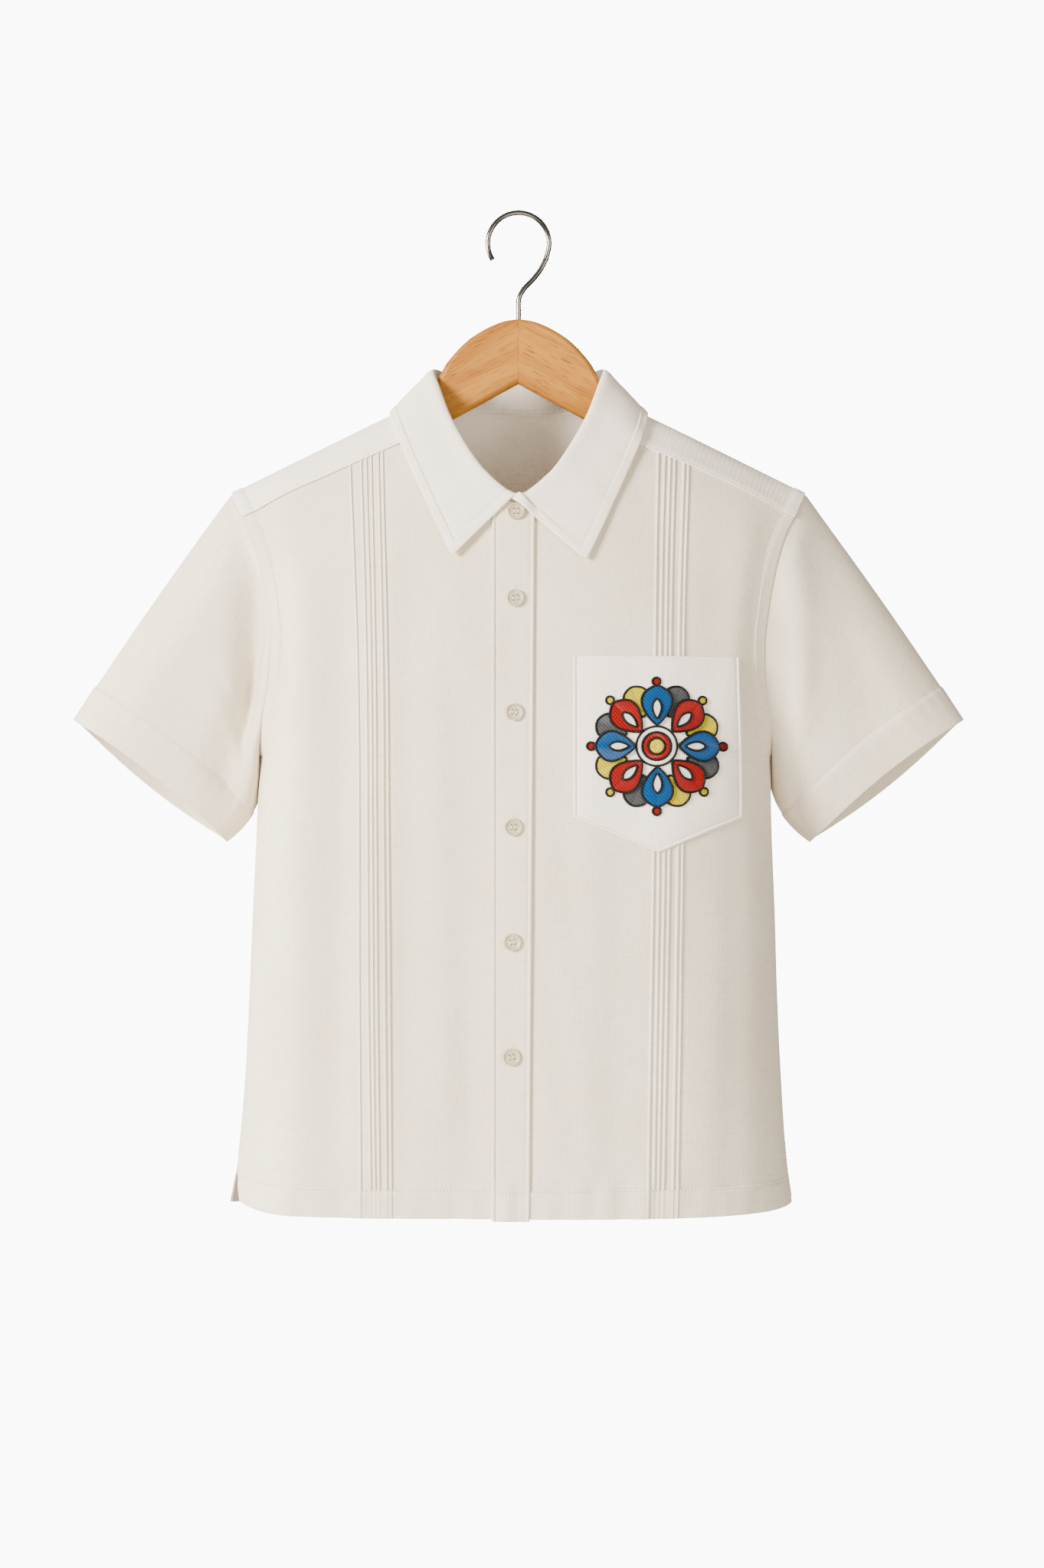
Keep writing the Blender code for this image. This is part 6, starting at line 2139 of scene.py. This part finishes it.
@dataclass
class Sleeve:
    """Short set-in sleeve with a turned hem, held open by the way it hangs."""

    hand: Hand
    yoke: Yoke
    top: tuple[float, float] = (358.8, -408.2)
    low: tuple[float, float] = (235.6, -506.3)
    half_depth: float = 34.0
    tilt: float = 7.2
    drop: float = 1.0
    square: float = 0.9
    under: tuple[float, float] = (-22.0, -7.0)
    over: tuple[float, float] = (2.6, 1.8)
    puff: float = 7.0
    fall: tuple[float, float] = (0.56, -0.83)
    clear: float = 0.45
    clear_z: float = 4.0
    beside_x: float = 232.0
    side_x: float = 207.0
    band: float = 33.0
    wall: float = 0.7
    hem_wall: float = 1.4
    stitch: float = 32.6
    # Radius that turns an angle from the underarm into a distance, and how wide its seam lies.
    seam_radius: float = 60.0
    seam_width: float = 6.0
    around: int = 176
    between: int = 30
    start: tuple[float, ...] = (0, 0.6, 1.3, 2.2, 3.6, 5.5)
    hem: tuple[float, ...] = (
        0, 0.4, 1.0, 2.5, 6, 11, 17, 23, 28, 30.6, 31.6, 32.2, 32.6, 33.0, 33.4, 33.9, 34.6, 36.5,
    )
    cut: Cut = Cut(440, 205, 0.80)

    def loop(self) -> Array:
        """Points round the armhole, from the ridge down the front and up the back."""
        sign = self.hand.value
        parts = np.linspace(0, 1, 60)
        over_front = self.yoke.front_turn * parts
        over_back = self.yoke.back_turn * parts[::-1]
        rims = [BODY.shoulder(sign * self.yoke.rim_x(t), t) for t in (over_front, over_back)]
        front_z = np.linspace(rims[0][-1, 2] - 1, BODY.armpit_z, 140)
        back_z = np.linspace(BODY.armpit_z, rims[1][0, 2] - 1, 140)
        seams = []
        for z, side in ((front_z, -1), (back_z, 1)):
            seams.append(BODY.surface(BODY.shift(z) + sign * BODY.edge(z, side), z, side))
        pit = BODY.armpit_z
        low = np.array([[BODY.shift(pit) + sign * BODY.edge(pit, -1), 0, pit]])
        line = np.concatenate((rims[0], seams[0][:-1], low, seams[1][1:], rims[1]))
        run = lengths(line)
        return along(line, np.linspace(0, run[-1], self.around + 1)[:-1])

    def turns(self, loop: Array) -> Array:
        """Angle of each point of the armhole: 0 at its top, half a turn at its foot."""
        run = lengths(np.concatenate((loop, loop[:1])))
        foot = int(np.argmin(loop[:, 2]))
        front = math.pi * run[: foot + 1] / run[foot]
        back = math.pi * (1 + (run[foot + 1 : -1] - run[foot]) / (run[-1] - run[foot]))
        return np.concatenate((front, back))

    def hem_line(self, around: Array) -> Array:
        """Points of the sleeve's hem at angles round it, on the left side."""
        middle = (np.array(self.top) + np.array(self.low)) / 2
        swing = -np.sin(around)
        place = middle + (np.array(self.top) - middle) * np.cos(around)[:, None]
        lens = np.sign(swing) * swing * swing
        place = place + np.array(self.fall) * (self.tilt * lens + self.drop)[:, None]
        depth = self.half_depth * np.sign(swing) * np.abs(swing) ** self.square
        return stack(place[:, 0], depth, place[:, 1])

    def pull(self, around: Array) -> Array:
        """How far the cloth between armhole and hem stands off the straight line."""
        under, over = np.maximum(-np.cos(around), 0.0) ** 3, np.maximum(np.cos(around), 0.0) ** 2
        across = self.under[0] * under + self.over[0] * over
        up = self.under[1] * under + self.over[1] * over
        return stack(across, -self.puff * np.sin(around), up)

    def beside_body(self, points: Array) -> Array:
        """Points, moved out where they would touch the body beside the underarm."""
        low = points[..., 2] < BODY.armpit_z + self.clear_z
        beside = np.abs(points[..., 0]) < self.beside_x
        close = low & beside & (BODY.height(points) < self.clear)
        moved = BODY.lifted(points, np.full(points.shape[:-1], self.clear))
        return np.where(close[..., None], moved, points)

    def build(self, finishes: Finishes, needle: Needle) -> bpy.types.Object:
        """Make the sleeve with its stitches."""
        sign = self.hand.value
        side = np.array((sign, 1.0, 1.0))
        loop = self.loop()
        around = self.turns(loop)
        hem = self.hem_line(around) * side
        control = (loop + hem) / 2 + self.pull(around) * side
        t = np.linspace(0, 1, 90)[:, None, None]
        rows = loop * (1 - t) ** 2 + control * (2 * t * (1 - t)) + hem * t * t
        rows[1:] = self.beside_body(rows[1:])
        grid = resample(rows, 0, self.start, self.hem, self.between)
        normals = grid_normals(grid, ringed=True)
        halfway = len(grid) // 2
        if float(normals[halfway, 0] @ (grid[halfway, 0] - grid[halfway].mean(axis=0))) < 0:
            normals = -normals
        body = BODY.normal(loop)
        normals[0] = unit(body + normals[0])
        run = np.array([lengths(grid[:, k]) for k in range(grid.shape[1])]).T
        total = run[-1][None]
        part = run / total
        to_hem = total - run
        band = 0.85 * ease((self.band + 0.6 - to_hem) / 0.9)
        band = band - 0.9 * bump(to_hem - self.band + 0.5, 0.9)
        fold = sum(Drag(*row).height(around[None], part) for row in DRAGS[self.hand])
        fold = fold * ease(part / 0.07) * blend(1.0, 0.55, ease((self.band - to_hem) / 10))
        above = ease((grid[..., 2] - BODY.armpit_z) / 25.0)
        clear_of = blend(ease((np.abs(grid[..., 0]) - self.side_x) / 14.0), 1.0, above)
        seam = np.abs(around[None] - math.pi) * self.seam_radius
        ridge = 0.35 * ease((self.seam_width - seam) / 1.2)
        pucker = 0.22 * np.sin(around[None] * 31) * bump(to_hem - self.band + 6, 9.0)
        height = fold * clear_of + band + ridge + pucker - 0.8 * bump(run, 1.5)
        outer = grid + normals * height[..., None]
        wall = np.where(to_hem < self.band, self.hem_wall, self.wall)
        inner = outer - normals * (wall + np.maximum(band, 0.0))[..., None]
        tangent = np.roll(loop, -1, axis=0) - np.roll(loop, 1, axis=0)
        away = unit(np.cross(tangent, body))
        away[away[:, 0] * sign < 0] *= -1
        under = [loop - body * 1.5 - away * reach for reach in (5.0, 2.0)]
        outer = np.concatenate((np.array(under), outer))
        inner = np.concatenate((np.array(under) - body * self.wall, inner))
        name = f"sleeve_{self.hand.label}"
        up = np.concatenate((np.repeat([[6.0], [3.0]], len(loop), axis=1), -run))
        up = np.concatenate((up, up[:, :1]), axis=1)
        ring = lengths(np.concatenate((hem, hem[:1])))
        flat = stack(ring[None], up + total.max())
        piece = Cloth(name, outer, inner, ringed=True, flat=flat).make(finishes.linen)
        at = len(outer) - 1 - self.hem.index(self.stitch)
        closed = np.concatenate((outer[at], outer[at, :1]))
        closed_out = np.concatenate((normals[at - 2], normals[at - 2, :1]))
        seam = Seam.over(closed, closed_out, np.s_[:], 0.15, 1.3)
        stitches = needle.sew(f"{name}_stitches", (seam,), finishes.thread)
        self.cut.declare(piece, "hung", ("yoke_cloth",), (stitches,))
        return piece


# ------------------------------------------------------------------ hanger and hook
@dataclass
class Hanger:
    """Beech hanger in two halves, mitred and glued in the middle, with a steel hook."""

    head: tuple[tuple[float, float], ...] = (
        (0.0, -85.0), (12.0, -86.9), (25.0, -92.1), (37.5, -99.6), (46.2, -107.0),
        (53.0, -114.4), (59.2, -122.4), (65.6, -134.5),
    )
    notch_z: float = -137.0
    under_slope: float = 0.542
    thick: float = 14.0
    edge: float = 3.6
    arm_x: float = 69.2
    tip_x: float = 206.0
    tip_high: float = 18.0
    tip_round: float = 6.8
    # Angles that the rounded tip runs between, in degrees from straight outward.
    tip_arc: tuple[float, float] = (62.0, -118.0)
    clear: float = 2.3
    glue: float = 0.3
    wire: float = 1.55
    seen_wire: float = 2.1
    bend: float = 24.8
    shank_z: float = -96.0
    neck: tuple[tuple[float, float], ...] = (
        (0.0, -92.0), (0.0, -80.0), (0.0, -70.5), (1.2, -65.5), (5.0, -59.5), (11.6, -52.6),
        (17.8, -44.6), (22.4, -35.6),
    )
    arc: tuple[float, float] = (-18.0, 212.0)

    def outline(self) -> Array:
        """Outline of the left half as (x, z), from the apex over the arm and back below."""
        drop = self.clear * math.hypot(1, BODY.ridge_slope)
        head = refine(np.array(self.head), 6)
        arm_x = np.linspace(self.arm_x, self.tip_x, 26)
        arm = np.stack((arm_x, BODY.ridge(arm_x) - drop), axis=1)
        top = np.concatenate((head, arm))
        tip_top = BODY.ridge(self.tip_x) - drop
        tip_low = tip_top - self.tip_high
        turn = np.radians(np.linspace(*self.tip_arc, 13))
        half = self.tip_high / 2
        centre = np.array((self.tip_x - 2.6, (tip_top + tip_low) / 2 + 0.5))
        reach = (np.cos(turn) * self.tip_round, np.sin(turn) * half * 0.98)
        tip = centre + np.stack(reach, axis=1)
        low_x = np.linspace(self.tip_x - 7, 0.0, 40)
        part = np.clip((low_x - self.arm_x) / (self.tip_x - self.arm_x), 0, 1)
        low = self.notch_z - self.under_slope * low_x
        low = blend(low, np.maximum(low, tip_low), part)
        line = np.concatenate((top[:-1], tip, np.stack((low_x, low), axis=1)))
        line[[0, -1], 0] = 0.0
        return line

    def build_arm(self, hand: Hand, finishes: Finishes) -> bpy.types.Object:
        """Make one half: its outline filled, given its thickness, and its edges rounded."""
        line = self.outline()
        deselect_all()
        bpy.ops.mesh.primitive_circle_add(vertices=len(line), radius=1, fill_type="NGON")
        made = bpy.context.object
        for vertex, (x, z) in zip(made.data.vertices, line):
            vertex.co = (hand.value * x * MM, -self.thick / 2 * MM, z * MM)
        bpy.ops.object.mode_set(mode="EDIT")
        bpy.ops.mesh.select_all(action="SELECT")
        bpy.ops.mesh.extrude_region_move(TRANSFORM_OT_translate={"value": (0, self.thick * MM, 0)})
        bpy.ops.mesh.select_all(action="SELECT")
        bpy.ops.mesh.normals_make_consistent(inside=False)
        bpy.ops.mesh.select_mode(type="EDGE")
        for at_mitre, offset, segments in ((False, self.edge, 5), (True, self.glue, 1)):
            mesh = bmesh.from_edit_mesh(made.data)
            for part in (*mesh.verts, *mesh.edges, *mesh.faces):
                part.select_set(False)
            for edge in mesh.edges:
                a, b = (v.co for v in edge.verts)
                inside = abs(a.x) < 1e-6 and abs(b.x) < 1e-6
                flat = abs(a.y - b.y) < 1e-6 and abs(abs(a.y) - self.thick / 2 * MM) < 1e-6
                edge.select_set(flat and inside == at_mitre)
            bmesh.update_edit_mesh(made.data)
            bpy.ops.mesh.bevel(offset=offset * MM, segments=segments, profile=0.36)
        bpy.ops.object.mode_set(mode="OBJECT")
        made.name = f"hanger_arm_{hand.label}"
        activate(made)
        bpy.ops.object.shade_smooth_by_angle(angle=math.radians(24))
        keep_place(made)
        return settle(made, finishes.beech[hand], (f"hanger_{hand.label}",))

    def build_hook(self, finishes: Finishes) -> bpy.types.Object:
        """Make the hook: a wire bent from the shank, over the neck, to a round loop."""
        rows = refine(np.array(self.neck), 8)
        centre = np.array((0.0, -(self.bend - self.wire)))
        angle = np.radians(np.linspace(*self.arc, 72))
        loop = centre + self.bend * np.stack((np.cos(angle), np.sin(angle)), axis=1)
        line = np.concatenate((((0.0, self.shank_z),), rows, loop))
        deselect_all()
        bpy.ops.curve.primitive_nurbs_path_add()
        made = bpy.context.object
        made.data.splines.clear()
        spline = made.data.splines.new("POLY")
        spline.points.add(len(line) - 1)
        for spot, (x, z) in zip(spline.points, line):
            spot.co = (x * MM, 0.0, z * MM, 1.0)
        made.data.bevel_depth = self.seen_wire * MM
        made.data.bevel_resolution = 5
        made.data.use_fill_caps = True
        bpy.ops.object.convert(target="MESH")
        made = bpy.context.object
        made.name = "hook_wire"
        bpy.ops.object.shade_smooth_by_angle(angle=math.radians(50))
        keep_place(made)
        return settle(made, finishes.steel, ("hook",))


# ------------------------------------------------------------------ stage
@dataclass
class Stage:
    """Pale floor out of the picture, white surroundings, soft lamps and the camera."""

    floor_z: float = -1.55
    floor_radius: float = 1.5
    camera: tuple[float, float, float] = (0.0028, -2.4, -0.461)
    lens: float = 68.05
    sensor: float = 36.0
    target: tuple[float, float, float] = (0.0, 0.0, -0.45)
    lamp_colour: str = "#FFF8EE"
    surroundings: float = 0.26
    seen_white: float = 10.5
    # Name, place, size in metres and power in watts of each softbox.
    lamps: tuple[tuple[str, tuple[float, float, float], float, float], ...] = (
        ("key_softbox", (-4.45, -3.62, 1.10), 2.0, 1330.0),
        ("side_softbox", (-2.88, 0.25, -0.2), 1.0, 128.0),
        ("right_softbox", (1.84, -2.19, 0.05), 1.5, 58.0),
        ("low_softbox", (0.0, -2.86, -0.85), 1.5, 36.0),
    )

    def build(self) -> None:
        """Make the floor, the surroundings, the lamps and the camera."""
        self.floor()
        self.world()
        for lamp in self.lamps:
            self.lamp(*lamp)
        self.view()

    def floor(self) -> None:
        """Round pale floor, below what the picture shows."""
        deselect_all()
        bpy.ops.mesh.primitive_circle_add(vertices=96, radius=self.floor_radius, fill_type="NGON")
        floor = bpy.context.object
        floor.name = "studio_floor"
        floor.location.z = self.floor_z
        keep_place(floor)
        paint = Recipe("matt_floor_paint", Base_Color=linear("#F2F1EE"), Roughness=0.9)
        floor.data.materials.append(paint.material)

    def world(self) -> None:
        """White surroundings: pure to the camera, dimmer as light."""
        world = bpy.data.worlds.new("white_surroundings")
        bpy.context.scene.world = world
        world.use_nodes = True
        tree = world.node_tree
        tree.nodes.clear()
        rays = add_node(tree, "ShaderNodeLightPath")
        tones = (("#FFEFD6", self.surroundings), ("#FFFFFF", self.seen_white))
        light, seen = (
            add_node(
                tree, "ShaderNodeBackground", inputs={"Color": linear(code), "Strength": power}
            )
            for code, power in tones
        )
        links = {0: (rays, "Is Camera Ray"), 1: (light, 0), 2: (seen, 0)}
        mix = add_node(tree, "ShaderNodeMixShader", links=links)
        add_node(tree, "ShaderNodeOutputWorld", links={0: (mix, 0)})

    def lamp(
        self, name: str, place: tuple[float, float, float], size: float, power: float
    ) -> None:
        """Square soft lamp at a place, turned towards the shirt."""
        data = bpy.data.lights.new(name, "AREA")
        data.shape, data.size, data.energy = "SQUARE", size, power
        data.color = linear(self.lamp_colour)[:3]
        lamp = linked(name, data)
        lamp.location = place
        way = Vector(self.target) - Vector(place)
        lamp.rotation_euler = way.to_track_quat("-Z", "Y").to_euler()

    def view(self) -> None:
        """Camera of the photo: level, straight on, from 2.4 m."""
        data = bpy.data.cameras.new("photo_camera")
        data.sensor_fit = "VERTICAL"
        data.sensor_height = self.sensor
        data.lens = self.lens
        camera = linked("photo_camera", data)
        camera.location = self.camera
        camera.rotation_euler = (math.pi / 2, 0.0, 0.0)
        bpy.context.scene.camera = camera


# ------------------------------------------------------------------ assembly
def main() -> None:
    """Build the shirt, its hanger and the studio, in order."""
    finishes = Finishes()
    needle = Needle()
    hanger = Hanger()
    for hand in Hand:
        hanger.build_arm(hand, finishes)
    hanger.build_hook(finishes)
    yoke = Yoke()
    yoke.build(finishes, needle)
    for hand in Hand:
        Front(hand).build(finishes, needle)
    Back().build(finishes, needle)
    Placket().build(finishes, needle)
    Pocket().build(finishes, needle)
    collar = Collar()
    collar.build_stand(finishes, needle)
    collar.build_fall(finishes, needle)
    for hand in Hand:
        Sleeve(hand, yoke).build(finishes, needle)
    BUTTONS.build(finishes)
    Stage().build()


if __name__ == "__main__":
    logging.basicConfig(level=logging.INFO, format="%(message)s")
    main()
